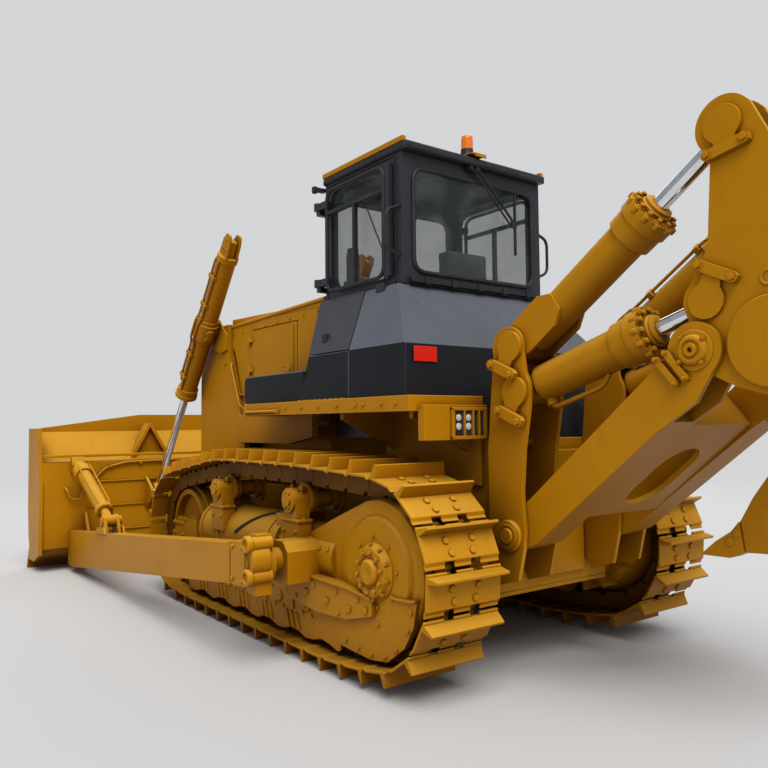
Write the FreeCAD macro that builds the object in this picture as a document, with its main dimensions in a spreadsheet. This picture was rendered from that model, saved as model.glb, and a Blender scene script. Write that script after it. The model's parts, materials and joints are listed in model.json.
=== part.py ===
import FreeCAD, Part
import math
import os
import Sketcher

# A full-size crawler bulldozer with a parallelogram ripper.
# +X is forward, +Y is the machine's left, +Z is up, and z = 0 is the ground.
# Stations along X are measured from the sprocket axle; every sub-part's Placement
# then moves it by frame_shift, which puts the origin under the middle of the machine.

doc = FreeCAD.newDocument("bulldozer")
sheet = doc.addObject("Spreadsheet::Sheet", "Sizes")

# name, value in millimetres or degrees
DRIVING_SIZES = [
    ("frame_shift", -1680),
    # running gear
    ("gauge", 2140),
    ("shoe_width", 560),
    ("shoe_plate", 18),
    ("grouser_height", 80),
    ("grouser_foot", 34),
    ("grouser_tip", 16),
    ("shoe_count", 41),
    ("pin_phase", 0.94),
    ("grouser_share", 0.18),
    ("rail_outer", 72),
    ("rail_inner", 70),
    ("rail_spread", 98),
    ("rail_width", 44),
    ("sprocket_height", 711),
    ("sprocket_pitch_radius", 495.6),
    ("sprocket_teeth", 27),
    ("sprocket_width", 76),
    ("idler_station", 3192.5),
    ("idler_height", 640),
    ("idler_pitch_radius", 450),
    ("idler_width", 190),
    ("roller_first", 420),
    ("roller_last", 2800),
    ("roller_count", 7),
    ("roller_radius", 120),
    ("roller_flange", 18),
    ("carrier_rear", 960),
    ("carrier_front", 2190),
    ("carrier_line", 1245),
    ("carrier_radius", 100),
    ("running_gap", 0.3),
    ("tread_slack", 8),
    ("idler_drop", 15),
    # track frames
    ("beam_width", 340),
    ("beam_low", 400),
    ("beam_high", 800),
    ("beam_front", 2700),
    ("beam_rear", 505),
    ("recoil_radius", 235),
    ("recoil_height", 700),
    ("recoil_rear", 1250),
    ("recoil_front", 2600),
    ("guard_plate", 30),
    ("guard_low", 250),
    ("cover_radius", 440),
    ("cover_shoulder", 150),
    ("cover_step", 55),
    ("cover_face_radius", 335),
    ("cover_out", 205),
    ("hub_radius", 142),
    ("hub_out", 248),
    ("arm_plate", 44),
    ("ledge_depth", 70),
    ("post_width", 110),
    # hull
    ("hull_width", 1060),
    ("hull_low", 500),
    ("belly_plate", 30),
    ("rail_top", 1040),
    ("hull_rail", 100),
    ("case_rear", -300),
    ("case_front", 900),
    ("case_top", 1500),
    ("final_drive_radius", 330),
    ("drive_ribs", 12),
    ("equalizer_station", 2420),
    # hood and radiator guard
    ("guard_front", 4100),
    ("guard_rear", 3400),
    ("guard_foot", 3040),
    ("yoke_depth", 26),
    ("guard_width", 1320),
    ("guard_top", 2640),
    ("guard_wall", 60),
    ("grille_depth", 60),
    ("grille_bars", 12),
    ("hood_width", 1240),
    ("hood_rear", 1600),
    ("hood_top", 2690),
    ("hood_sheet", 40),
    ("hood_front", 3400),
    ("hood_fall", 50),
    ("hinge_gap", 6),
    ("door_pin_radius", 9),
    ("knuckle", 13),
    ("engine_door_rear", 2080),
    ("engine_door_front", 2960),
    ("engine_door_low", 2060),
    ("engine_door_high", 2530),
    ("panel_gap", 8),
    ("engine_rear", 1900),
    ("engine_front", 3200),
    ("engine_width", 760),
    ("engine_top", 2150),
    # decks, tank and consoles
    ("deck_top", 1780),
    ("deck_thick", 100),
    ("deck_sheet", 24),
    ("deck_edge", 1150),
    ("deck_rear", -180),
    ("deck_front", 2050),
    ("crease_height", 2130),
    ("sill_height", 2600),
    ("tank_foot", 1090),
    ("tank_crease", 1000),
    ("tank_shoulder", 750),
    ("tank_rear_foot", -70),
    ("tank_rear_crease", 40),
    ("tank_rear_shoulder", 430),
    ("seam_foot", 560),
    ("seam_crease", 690),
    ("seam_shoulder", 830),
    ("console_front", 1240),
    ("console_shoulder", 1465),
    ("skin", 44),
    ("low_box_front", 2214),
    ("low_box_edge", 1050),
    ("low_box_top", 2020),
    # cab
    ("cab_rear", 420),
    ("cab_front", 1440),
    ("cab_half", 716),
    ("sill_lift", 20),
    ("cab_wall", 38),
    ("cab_inner", 560),
    ("floor_height", 1940),
    ("roof_low", 3560),
    ("roof_top", 3650),
    ("roof_overhang", 24),
    ("roof_rear", 363),
    ("roof_front", 1455),
    ("hinge_station", 1475),
    ("hinge_y", 760),
    ("door_rear", 500),
    ("door_front", 1392),
    ("door_high", 3530),
    ("glass", 6),
    ("window_radius", 75),
    ("beacon_y", 30),
    ("lamp_inner", 555),
    ("lamp_outer", 1080),
    ("lamp_depth", 60),
    ("exhaust_station", 2480),
    ("exhaust_offset", 260),
    # blade
    ("blade_width", 4130),
    ("blade_tip", 5790),
    ("blade_back", 5230),
    ("blade_end_top", 1570),
    ("blade_top", 1750),
    ("blade_side_plate", 40),
    ("moldboard", 46),
    ("trunnion_station", 820),
    ("trunnion_height", 700),
    ("trunnion_radius", 80),
    ("arm_outer", 1750),
    ("arm_width", 160),
    ("arm_bearing", 152),
    ("pin_gap", 0.6),
    ("shelf_height", 1230),
    ("lift_eye_half", 50),
    ("ear_plate", 30),
    ("strut_foot_station", 3975),
    ("strut_foot_height", 668),
    ("strut_head_station", 5130),
    ("strut_head_height", 1170),
    # blade lift cylinders
    ("lift_y", 800),
    ("yoke_station", 3660),
    ("yoke_height", 2600),
    ("lift_pin_station", 5080),
    ("lift_pin_height", 820),
    ("lift_barrel_radius", 90),
    ("lift_gland_radius", 112),
    ("yoke_pin_radius", 56),
    ("lift_rod_radius", 42),
    ("lift_barrel_up", 1060),
    ("lift_barrel_down", 880),
    # ripper
    ("ripper_outer", 610),
    ("ripper_plate", 30),
    ("ripper_slot", 250),
    ("side_gap", 6),
    ("low_pin_station", -470),
    ("low_pin_height", 925),
    ("mid_pin_station", -530),
    ("mid_pin_height", 1810),
    ("top_pin_station", -480),
    ("top_pin_height", 2070),
    ("arm_pin_station", -1700),
    ("arm_pin_height", 1950),
    ("rod_pin_station", -1760),
    ("rod_pin_height", 2190),
    ("tower_pin_station", -1870),
    ("tower_pin_height", 3030),
    ("tube_station", -2080),
    ("tube_height", 1965),
    ("tube_radius", 210),
    ("ripper_rear", -2430),
    ("ripper_pin_radius", 55),
    ("ripper_barrel_radius", 114),
    ("ripper_gland_radius", 146),
    ("lift_gland_end", 940),
    ("tilt_gland_end", 1180),
    ("arm_high_side", 80),
    ("arm_low_side", 160),
    ("fork_depth", 330),
    ("web_front", 370),
    ("holder_rear", -2380),
    ("holder_front", -1930),
    ("holder_half", 150),
    ("holder_low", 1700),
    ("holder_high", 2330),
    ("shank_rear", -2290),
    ("shank_front", -1990),
    ("shank_top", 2560),
    ("shank_gap", 0.3),
    ("ripper_rod_radius", 45),
    ("shank_thick", 90),
    ("tooth_station", -1390),
    ("tooth_height", 873),
]

for number, (alias, value) in enumerate(DRIVING_SIZES, start=1):
    sheet.set("A%d" % number, alias)
    sheet.set("B%d" % number, str(value))
    sheet.setAlias("B%d" % number, alias)
doc.recompute()


class Size:
    """A length that knows its number and the expression that gives it."""

    def __init__(self, value, text):
        self.value = float(value)
        self.text = text

    def __add__(self, other):
        other = as_size(other)
        return Size(self.value + other.value, "(%s + %s)" % (self.text, other.text))

    def __radd__(self, other):
        return as_size(other) + self

    def __sub__(self, other):
        other = as_size(other)
        return Size(self.value - other.value, "(%s - %s)" % (self.text, other.text))

    def __rsub__(self, other):
        return as_size(other) - self

    def __mul__(self, other):
        other = as_size(other)
        return Size(self.value * other.value, "(%s * %s)" % (self.text, other.text))

    def __rmul__(self, other):
        return as_size(other) * self

    def __truediv__(self, other):
        other = as_size(other)
        return Size(self.value / other.value, "(%s / %s)" % (self.text, other.text))

    def __neg__(self):
        return Size(-self.value, "(-1 * %s)" % self.text)


def as_size(number):
    return number if isinstance(number, Size) else Size(number, repr(float(number)))


class Sizes:
    """Gives each cell of the sheet by its alias."""

    def __getattr__(self, alias):
        return Size(sheet.get(alias), "Sizes.%s" % alias)


s = Sizes()


def slant(rise, run):
    """Angle in degrees of a line in the XZ plane."""
    rise, run = as_size(rise), as_size(run)
    angle = math.degrees(math.atan2(rise.value, run.value))
    return Size(angle, "atan2(%s; %s)" % (rise.text, run.text))


def span(rise, run):
    """Length of a line in the XZ plane."""
    rise, run = as_size(rise), as_size(run)
    return Size(math.hypot(rise.value, run.value), "hypot(%s; %s)" % (rise.text, run.text))


def bind(thing, prop, size):
    """Sets a property from a size and ties it to the sheet."""
    size = as_size(size)
    thing.setExpression(prop, size.text)


def place(thing, x=0, y=0, z=0):
    for axis, size in zip("xyz", (x, y, z)):
        size = as_size(size)
        setattr(thing.Placement.Base, axis, size.value)
        bind(thing, "Placement.Base.%s" % axis, size)


def turn_about_y(thing, angle):
    """Tips a thing up by an angle in the XZ plane, nose towards +Z."""
    angle = as_size(angle)
    thing.Placement.Rotation = FreeCAD.Rotation(FreeCAD.Vector(0, -1, 0), angle.value)
    bind(thing, "Placement.Rotation.Angle", angle)


def origin_plane(body, role):
    for feature in body.Origin.OriginFeatures:
        if feature.Role == role:
            return feature
    raise ValueError(role)


def draw(sketch, outline):
    """Draws a closed outline of straight lines; each corner is a pair of sizes."""
    corners = [(as_size(a), as_size(b)) for a, b in outline]
    points = [FreeCAD.Vector(a.value, b.value, 0) for a, b in corners]
    count = len(points)
    first = sketch.GeometryCount
    for index in range(count):
        sketch.addGeometry(Part.LineSegment(points[index], points[(index + 1) % count]), False)
    for index in range(count):
        following = first + (index + 1) % count
        sketch.addConstraint(Sketcher.Constraint("Coincident", first + index, 2, following, 1))
    for index, (a, b) in enumerate(corners):
        for kind, size in (("DistanceX", a), ("DistanceY", b)):
            rule = Sketcher.Constraint(kind, -1, 1, first + index, 1, size.value)
            number = sketch.addConstraint(rule)
            if "Sizes." in size.text:
                sketch.setExpression("Constraints[%d]" % number, size.text)


def ring(sketch, x, y, radius):
    """Draws a circle whose centre and radius follow their sizes."""
    x, y, radius = as_size(x), as_size(y), as_size(radius)
    centre = FreeCAD.Vector(x.value, y.value, 0)
    circle = sketch.addGeometry(Part.Circle(centre, FreeCAD.Vector(0, 0, 1), radius.value), False)
    for kind, size in (("DistanceX", x), ("DistanceY", y)):
        number = sketch.addConstraint(Sketcher.Constraint(kind, -1, 1, circle, 3, size.value))
        if "Sizes." in size.text:
            sketch.setExpression("Constraints[%d]" % number, size.text)
    number = sketch.addConstraint(Sketcher.Constraint("Radius", circle, radius.value))
    if "Sizes." in radius.text:
        sketch.setExpression("Constraints[%d]" % number, radius.text)


def new_body(name, role):
    body = doc.addObject("PartDesign::Body", name)
    sketch = body.newObject("Sketcher::SketchObject", name + "_outline")
    sketch.AttachmentSupport = (origin_plane(body, role), [""])
    sketch.MapMode = "FlatFace"
    return body, sketch


def plate(name, outline, thickness, y=0, holes=(), role="XZ_Plane", x=0, z=0):
    """A plate drawn from the side and padded evenly about its middle at y."""
    body, sketch = new_body(name, role)
    draw(sketch, outline)
    for hole in holes:
        ring(sketch, *hole)
    pad = body.newObject("PartDesign::Pad", name + "_pad")
    pad.Profile = sketch
    pad.Length = as_size(thickness).value
    bind(pad, "Length", thickness)
    pad.Midplane = True
    place(body, x, y, z)
    return body


def cross_plate(name, outline, thickness, x=0):
    """A plate drawn from behind, with corners (y, z), padded evenly about x."""
    return plate(name, outline, thickness, role="YZ_Plane", x=x)


def turned(name, outline, x=0, y=0, z=0, role="YZ_Plane"):
    """A piece turned about the Y axis; corners are (place along the axis, radius)."""
    body, sketch = new_body(name, role)
    draw(sketch, outline)
    revolution = body.newObject("PartDesign::Revolution", name + "_turn")
    revolution.Profile = sketch
    revolution.ReferenceAxis = (sketch, ["H_Axis"])
    revolution.Angle = 360
    place(body, x, y, z)
    return body


def turned_z(name, outline, x, y, z):
    """A piece turned about a vertical axis; corners are (radius, height)."""
    body, sketch = new_body(name, "XZ_Plane")
    draw(sketch, outline)
    revolution = body.newObject("PartDesign::Revolution", name + "_turn")
    revolution.Profile = sketch
    revolution.ReferenceAxis = (sketch, ["V_Axis"])
    revolution.Angle = 360
    place(body, x, y, z)
    return body


def turned_x(name, outline):
    """A piece turned about its own X axis, at the origin."""
    return turned(name, outline, role="XZ_Plane")


def block(name, x0, x1, y0, y1, z0, z1):
    """A box between two corners."""
    box = doc.addObject("Part::Box", name)
    for prop, low, high in (("Length", x0, x1), ("Width", y0, y1), ("Height", z0, z1)):
        extent = as_size(high) - as_size(low)
        setattr(box, prop, extent.value)
        bind(box, prop, extent)
    place(box, x0, y0, z0)
    return box


def disc(name, x, z, radius, y0, y1):
    """A round pin or boss along Y."""
    cylinder = doc.addObject("Part::Cylinder", name)
    cylinder.Radius = as_size(radius).value
    bind(cylinder, "Radius", radius)
    length = as_size(y1) - as_size(y0)
    cylinder.Height = length.value
    bind(cylinder, "Height", length)
    cylinder.Placement.Rotation = FreeCAD.Rotation(FreeCAD.Vector(1, 0, 0), -90)
    place(cylinder, x, y0, z)
    return cylinder


def rod_x(name, x0, x1, radius, y=0, z=0):
    """A round bar along X."""
    cylinder = doc.addObject("Part::Cylinder", name)
    cylinder.Radius = as_size(radius).value
    bind(cylinder, "Radius", radius)
    length = as_size(x1) - as_size(x0)
    cylinder.Height = length.value
    bind(cylinder, "Height", length)
    cylinder.Placement.Rotation = FreeCAD.Rotation(FreeCAD.Vector(0, 1, 0), 90)
    place(cylinder, x0, y, z)
    return cylinder


def post_z(name, x, y, z0, z1, radius):
    """A round bar along Z."""
    cylinder = doc.addObject("Part::Cylinder", name)
    cylinder.Radius = as_size(radius).value
    bind(cylinder, "Radius", radius)
    height = as_size(z1) - as_size(z0)
    cylinder.Height = height.value
    bind(cylinder, "Height", height)
    place(cylinder, x, y, z0)
    return cylinder


def fused(name, pieces):
    if len(pieces) == 1:
        single = doc.addObject("Part::Compound", name)
        single.Links = pieces
        return single
    joined = doc.addObject("Part::MultiFuse", name)
    joined.Shapes = pieces
    joined.Refine = False
    return joined


def cut(name, base, tools):
    result = doc.addObject("Part::Cut", name)
    result.Base = base
    result.Tool = tools[0] if len(tools) == 1 else fused(name + "_tools", tools)
    return result


def mirrored(name, piece):
    """The same piece on the machine's other side."""
    copy = doc.addObject("Part::Mirroring", name)
    copy.Source = piece
    copy.Normal = FreeCAD.Vector(0, 1, 0)
    return copy


def pair(name, piece):
    return [piece, mirrored(name, piece)]


sub_parts = []


def node(label, pieces):
    """Names a finished sub-part and moves it to its station."""
    part = doc.addObject("Part::Compound", label)
    part.Links = pieces
    part.Label = label
    place(part, x=s.frame_shift)
    sub_parts.append(part)
    return part


# Derived places
track_y = s.gauge / 2
ground_line = s.rail_outer + s.shoe_plate + s.grouser_height
hull_half = s.hull_width / 2


# Tracks: one closed loop each, with the shoes and their grousers in the outline
def number(alias):
    return float(sheet.get(alias))


def track_path():
    """Corner circles of the pin line, in order, as (x, z, radius)."""
    low = ground_line.value
    line = number("carrier_line")
    return [
        (0.0, number("sprocket_height"), number("sprocket_pitch_radius")),
        (number("roller_first"), low + 1.0, 1.0),
        (number("roller_last"), low + 1.0, 1.0),
        (number("idler_station"), number("idler_height"), number("idler_pitch_radius")),
        (number("carrier_front"), line - 160.0, 160.0),
        (number("carrier_rear"), line - 160.0, 160.0),
    ]


def outer_tangent(first, second):
    """Unit direction and left normal of the tangent that keeps both circles on its left."""
    dx, dz = second[0] - first[0], second[1] - first[1]
    gap = math.hypot(dx, dz)
    heading = math.atan2(dz, dx) + math.asin((first[2] - second[2]) / gap)
    direction = (math.cos(heading), math.sin(heading))
    outward = (math.sin(heading), -math.cos(heading))
    return direction, outward


def belt(circles):
    """Straight runs and arcs of a belt round the circles, anticlockwise seen from +(-Y)."""
    pieces = []
    count = len(circles)
    tangents = [outer_tangent(circles[i], circles[(i + 1) % count]) for i in range(count)]
    for index in range(count):
        x, z, radius = circles[index]
        before = tangents[index - 1][1]
        after = tangents[index][1]
        start = math.atan2(before[1], before[0])
        end = math.atan2(after[1], after[0])
        sweep = (end - start) % (2 * math.pi)
        pieces.append(("arc", x, z, radius, start, sweep, radius * sweep))
        nx, nz, next_radius = circles[(index + 1) % count]
        begin = (x + radius * after[0], z + radius * after[1])
        finish = (nx + next_radius * after[0], nz + next_radius * after[1])
        length = math.hypot(finish[0] - begin[0], finish[1] - begin[1])
        pieces.append(("run", begin[0], begin[1], finish[0], finish[1], after, length))
    return pieces


def along(pieces, distance):
    """Point on the belt and its outward normal, a distance from its start."""
    total = sum(piece[-1] for piece in pieces)
    distance = distance % total
    for piece in pieces:
        if distance <= piece[-1]:
            break
        distance -= piece[-1]
    if piece[0] == "arc":
        _, x, z, radius, start, sweep, length = piece
        angle = start + (distance / length if length else 0.0) * sweep
        normal = (math.cos(angle), math.sin(angle))
        return (x + radius * normal[0], z + radius * normal[1]), normal
    _, x0, z0, x1, z1, normal, length = piece
    share = distance / length if length else 0.0
    return (x0 + share * (x1 - x0), z0 + share * (z1 - z0)), normal


def track_shape():
    pieces = belt(track_path())
    total = sum(piece[-1] for piece in pieces)
    count = int(number("shoe_count"))
    pitch = total / count
    pins = [along(pieces, (index + number("pin_phase")) * pitch)[0] for index in range(count)]
    rise = number("rail_outer") + number("shoe_plate")
    tip = rise + number("grouser_height")
    foot, point = number("grouser_foot") / 2, number("grouser_tip") / 2
    # columns: distance from the grouser's middle, height over the pin line
    grouser = [(-foot, rise), (-point, tip), (point, tip), (foot, rise)]
    links = []
    for index in range(count):
        (x0, z0), (x1, z1) = pins[index], pins[(index + 1) % count]
        length = math.hypot(x1 - x0, z1 - z0)
        links.append((x0, z0, (x1 - x0) / length, (z1 - z0) / length, length))

    def corner(index, height):
        """The point over a pin where the flats of two links meet, a height outward."""
        x, z, ux, uz, _ = links[index]
        _, _, vx, vz, _ = links[index - 1]
        nx, nz = uz + vz, -ux - vx
        size = height / (1.0 + ux * vx + uz * vz)
        return x + nx * size, z + nz * size

    outer, seat, inner = [], [], []
    for index, (x, z, ux, uz, length) in enumerate(links):
        outer.append(corner(index, rise))
        for shift, height in grouser:
            reach = number("grouser_share") * length + shift
            outer.append((x + ux * reach + uz * height, z + uz * reach - ux * height))
        seat.append(corner(index, number("rail_outer")))
        inner.append(corner(index, -number("rail_inner")))

    def ring_solid(outside, inside, y0, y1):
        def wire(points):
            loop = [FreeCAD.Vector(x, y0, z) for x, z in points]
            return Part.makePolygon(loop + loop[:1])
        face = Part.Face(wire(outside)).cut(Part.Face(wire(inside)))
        return face.extrude(FreeCAD.Vector(0, y1 - y0, 0))

    half = number("shoe_width") / 2
    shoes = ring_solid(outer, seat, -half, half)
    spread, width = number("rail_spread"), number("rail_width")
    rails = [ring_solid(seat, inner, side * spread - width / 2, side * spread + width / 2)
             for side in (-1, 1)]
    return shoes.fuse(rails)


loop_shape = track_shape()
for label, side in (("track_left", 1), ("track_right", -1)):
    track = doc.addObject("Part::Feature", label)
    track.Shape = loop_shape
    track.Label = label
    place(track, x=s.frame_shift, y=side * track_y)
    sub_parts.append(track)


# Sprockets: a toothed rim on a dished hub
def sprocket_shape():
    teeth = int(number("sprocket_teeth"))
    pitch_radius = number("sprocket_pitch_radius")
    root = pitch_radius - number("rail_inner") * 0.55
    crown = pitch_radius - 6.0
    # columns: share of one tooth's angle, radius
    tooth = [(0.0, root), (0.30, root), (0.42, crown), (0.58, crown), (0.70, root)]
    half = number("sprocket_width") / 2
    corners = []
    for index in range(teeth):
        for share, radius in tooth[1:]:
            angle = 2 * math.pi * (index + share) / teeth
            corners.append(FreeCAD.Vector(radius * math.cos(angle), -half, radius * math.sin(angle)))
    rim = Part.Face(Part.makePolygon(corners + corners[:1])).extrude(FreeCAD.Vector(0, 2 * half, 0))
    recess = Part.makeCylinder(root - 90, half, FreeCAD.Vector(0, 12, 0), FreeCAD.Vector(0, 1, 0))
    boss = Part.makeCylinder(number("final_drive_radius") - 60, half - 12,
                             FreeCAD.Vector(0, 12, 0), FreeCAD.Vector(0, 1, 0))
    return rim.cut(recess).fuse(boss)


sprocket = doc.addObject("Part::Feature", "sprocket_left")
sprocket.Shape = sprocket_shape()
place(sprocket, y=track_y, z=s.sprocket_height)
node("sprockets", pair("sprocket_right", sprocket))

# Idlers: a rim with a centre flange, seated between the yoke plates by its shaft
idler_rim = s.idler_pitch_radius - s.rail_inner - s.idler_drop
idler_half = s.idler_width / 2
yoke_half = s.beam_width / 2 - s.guard_plate
idler = turned("idler_left", [
    (-yoke_half, 0), (-yoke_half, 70), (-idler_half + 10, 70), (-idler_half + 10, 110),
    (-25, 130), (-25, idler_rim - 60), (-idler_half, idler_rim - 50), (-idler_half, idler_rim),
    (-48, idler_rim), (-40, idler_rim + 24), (40, idler_rim + 24), (48, idler_rim),
    (idler_half, idler_rim), (idler_half, idler_rim - 50), (25, idler_rim - 60), (25, 130),
    (idler_half - 10, 110), (idler_half - 10, 70), (yoke_half, 70), (yoke_half, 0),
], x=s.idler_station, y=track_y, z=s.idler_height)
node("idlers", pair("idler_right", idler))

# Track rollers: seven a side, carried by their shafts between the guard plates
roller_height = ground_line + s.rail_inner + s.running_gap + s.roller_radius
tread_in = s.rail_spread - s.rail_width / 2 - 4
tread_out = s.rail_spread + s.rail_width / 2 + 4
tread = s.roller_radius - s.tread_slack
flange = s.roller_radius + s.roller_flange
guard_in = s.beam_width / 2
rollers = []
for index in range(int(number("roller_count"))):
    share = index / (number("roller_count") - 1)
    station = s.roller_first + (s.roller_last - s.roller_first) * share
    name = "roller_left_%d" % (index + 1)
    roller = turned(name, [
        (-guard_in, 0), (-guard_in, 40), (-tread_out - 18, 40), (-tread_out - 18, flange),
        (-tread_out, flange), (-tread_out, tread), (-tread_in, tread),
        (-tread_in, 72), (tread_in, 72), (tread_in, tread),
        (tread_out, tread), (tread_out, flange), (tread_out + 18, flange),
        (tread_out + 18, 40), (guard_in, 40), (guard_in, 0),
    ], x=station, y=track_y, z=roller_height)
    rollers += pair("roller_right_%d" % (index + 1), roller)
node("track_rollers", rollers)

# Carrier rollers under the top run
carrier_height = s.carrier_line - s.rail_inner - s.running_gap - s.carrier_radius
carrier_tread = s.carrier_radius - s.tread_slack
carriers = []
for index, station in enumerate((s.carrier_rear, s.carrier_front)):
    carrier = turned("carrier_left_%d" % (index + 1), [
        (-tread_out - 22, 0), (-tread_out - 22, flange - 20), (-tread_out, flange - 20),
        (-tread_out, carrier_tread), (-tread_in, carrier_tread), (-tread_in, 62),
        (tread_in, 62), (tread_in, carrier_tread), (tread_out, carrier_tread),
        (tread_out, flange - 20), (tread_out + 22, flange - 20), (tread_out + 22, 0),
    ], x=station, y=track_y, z=carrier_height)
    carriers += pair("carrier_right_%d" % (index + 1), carrier)
node("carrier_rollers", carriers)

# Track frames: beam, recoil housing, roller guards, idler yoke, drive cover and trunnion
beam_in = track_y - s.beam_width / 2
beam_out = track_y + s.beam_width / 2
guard_high = s.beam_low + 110
roller_step = (s.roller_last - s.roller_first) / (s.roller_count - 1)


def guard_outline(rear):
    """The roller guard's edge: it dips under each roller and rises between two."""
    outline = [(rear, guard_high), (rear, s.guard_low + 90)]
    for index in range(int(number("roller_count"))):
        station = s.roller_first + roller_step * index
        outline += [
            (station - 90, s.guard_low + 18), (station - 60, s.guard_low),
            (station + 60, s.guard_low), (station + 90, s.guard_low + 18),
        ]
        if index < number("roller_count") - 1:
            outline += [
                (station + roller_step / 2 - 75, s.guard_low + 60),
                (station + roller_step / 2 + 75, s.guard_low + 60),
            ]
    outline += [(s.roller_last + 190, s.guard_low + 90), (s.roller_last + 190, guard_high)]
    return outline


frame_pieces = [
    plate("beam", [
        (s.beam_rear, s.beam_low + 105), (s.beam_front, s.beam_low + 105),
        (s.beam_front + 90, s.beam_low + 130), (s.beam_front + 90, s.beam_low + 190),
        (s.beam_front - 120, s.beam_high), (s.beam_rear, s.beam_high),
    ], s.beam_width, y=track_y),
    rod_x("recoil", s.recoil_rear, s.recoil_front, s.recoil_radius, track_y, s.recoil_height),
    rod_x("recoil_tail", s.beam_rear, s.recoil_rear, s.recoil_radius - 30, track_y,
          s.recoil_height),
    rod_x("recoil_cap", s.recoil_front, s.recoil_front + 90, s.recoil_radius - 60, track_y,
          s.recoil_height),
    block("recoil_collar", s.recoil_rear - 60, s.recoil_rear + 60, track_y - 175, track_y + 175,
          s.beam_high - 40, s.recoil_height + s.recoil_radius + 15),
]
for index, y_side in enumerate((-1, 1)):
    y_mid = track_y + y_side * (s.beam_width / 2 + s.guard_plate / 2)
    rear = s.roller_first - (190 if y_side > 0 else 90)
    frame_pieces.append(plate("roller_guard_%d" % index, guard_outline(rear), s.guard_plate,
                              y=y_mid))
    y_yoke = track_y + y_side * (s.beam_width / 2 - s.guard_plate / 2)
    frame_pieces.append(plate("idler_yoke_%d" % index, [
        (s.beam_front - 80, s.beam_high - 60), (s.beam_front - 80, s.idler_height - 100),
        (s.idler_station - 80, s.idler_height - 110), (s.idler_station + 70, s.idler_height - 110),
        (s.idler_station + 120, s.idler_height - 50), (s.idler_station + 120, s.idler_height + 50),
        (s.idler_station + 70, s.idler_height + 110), (s.idler_station - 80, s.idler_height + 110),
    ], s.guard_plate, y=y_yoke))
frame_pieces.append(plate("nose_guard", [
    (s.beam_front + 60, s.beam_high - 40), (s.idler_station - 120, s.idler_height + 60),
    (s.idler_station + 130, s.idler_height - 20), (s.idler_station + 150, s.idler_height - 110),
    (s.beam_front + 60, s.beam_low + 70),
], s.guard_plate, y=beam_out + s.guard_plate / 2))

trunnion_stand = s.arm_outer - s.arm_width - 90 - beam_out

# The drive cover is turned: a shoulder over the teeth, a flat face and a hub
cover_in = s.sprocket_width / 2
cover_low = s.cover_radius - s.cover_step
rail_out = s.rail_spread + s.rail_width / 2 + s.side_gap
frame_pieces.append(turned("drive_cover", [
    (cover_in, 0), (cover_in, cover_low), (rail_out, cover_low),
    (rail_out, s.cover_radius), (s.cover_shoulder, s.cover_radius),
    (s.cover_shoulder + 26, s.cover_radius - 14), (s.cover_shoulder + 40, s.cover_face_radius + 30),
    (s.cover_out - 24, s.cover_face_radius), (s.cover_out, s.cover_face_radius - 18),
    (s.cover_out, s.hub_radius), (s.hub_out, s.hub_radius - 8), (s.hub_out, 52),
    (s.hub_out + 14, 44), (s.hub_out + 14, 0),
], y=track_y, z=s.sprocket_height))
frame_pieces += [
    plate("rear_arm", [
        (-60, s.sprocket_height - s.cover_radius + 20), (s.beam_rear / 2, s.beam_low + 112),
        (s.trunnion_station + 260, s.beam_low + 112), (s.trunnion_station + 260, s.beam_high),
        (s.trunnion_station + 60, s.beam_high + 30), (s.beam_rear + 40, s.beam_high + 170),
        (120, s.sprocket_height + s.cover_radius - 20),
    ], s.arm_plate, y=beam_out - s.arm_plate / 2),
    plate("side_guard", [
        (0, s.beam_low + 48), (s.beam_rear - 225, s.beam_low - 24),
        (s.beam_rear + 125, s.beam_low - 42), (s.trunnion_station + 210, s.beam_low - 10),
        (s.trunnion_station + 224, s.sprocket_height - 128),
        (s.beam_rear - 245, s.sprocket_height - 138), (90, s.sprocket_height - 152),
        (0, s.sprocket_height - 165),
    ], s.ledge_depth, y=beam_out + s.ledge_depth / 2),
    plate("lower_guard", [
        (s.beam_rear - 75, s.beam_low + 160), (s.beam_rear - 75, s.guard_low - 40),
        (s.beam_rear - 105, s.guard_low - 62), (60, s.guard_low - 78),
        (-109, s.guard_low - 52), (-275, s.beam_low - 85), (-360, s.beam_low + 50),
        (-392, s.sprocket_height - 108), (-60, s.sprocket_height - 122),
    ], track_y + s.cover_out - beam_out, y=(track_y + s.cover_out + beam_out) / 2),
    plate("trunnion_block", [
        (s.trunnion_station - 135, s.trunnion_height - 150),
        (s.trunnion_station + 135, s.trunnion_height - 150),
        (s.trunnion_station + 155, s.trunnion_height),
        (s.trunnion_station + 120, s.trunnion_height + 80),
        (s.trunnion_station + 60, s.trunnion_height + 125),
        (s.trunnion_station - 70, s.trunnion_height + 125),
        (s.trunnion_station - 135, s.trunnion_height + 60),
    ], trunnion_stand, y=beam_out + trunnion_stand / 2),
    turned("trunnion_pin", [
        (0, 0), (0, s.trunnion_radius + 50), (70, s.trunnion_radius),
        (s.arm_outer - beam_out, s.trunnion_radius),
        (s.arm_outer + 12 - beam_out, s.trunnion_radius - 12), (s.arm_outer + 12 - beam_out, 0),
    ], x=s.trunnion_station, y=beam_out, z=s.trunnion_height),
]
post_in = track_y + tread_out + 22
for index, station in enumerate((s.carrier_rear, s.carrier_front)):
    frame_pieces += [
        plate("carrier_post_%d" % index, [
            (station - 110, s.beam_high - 60), (station + 110, s.beam_high - 60),
            (station + 110, s.beam_high + 140), (station + 84, s.beam_high + 146),
            (station + 84, carrier_height), (station - 84, carrier_height),
            (station - 84, s.beam_high + 146), (station - 110, s.beam_high + 140),
        ], s.post_width, y=post_in + s.post_width / 2),
        disc("carrier_cap_%d" % index, station, carrier_height, 86, post_in,
             post_in + s.post_width + 20),
        disc("carrier_hub_%d" % index, station, carrier_height, 46, post_in + s.post_width + 20,
             post_in + s.post_width + 36),
    ]
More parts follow.
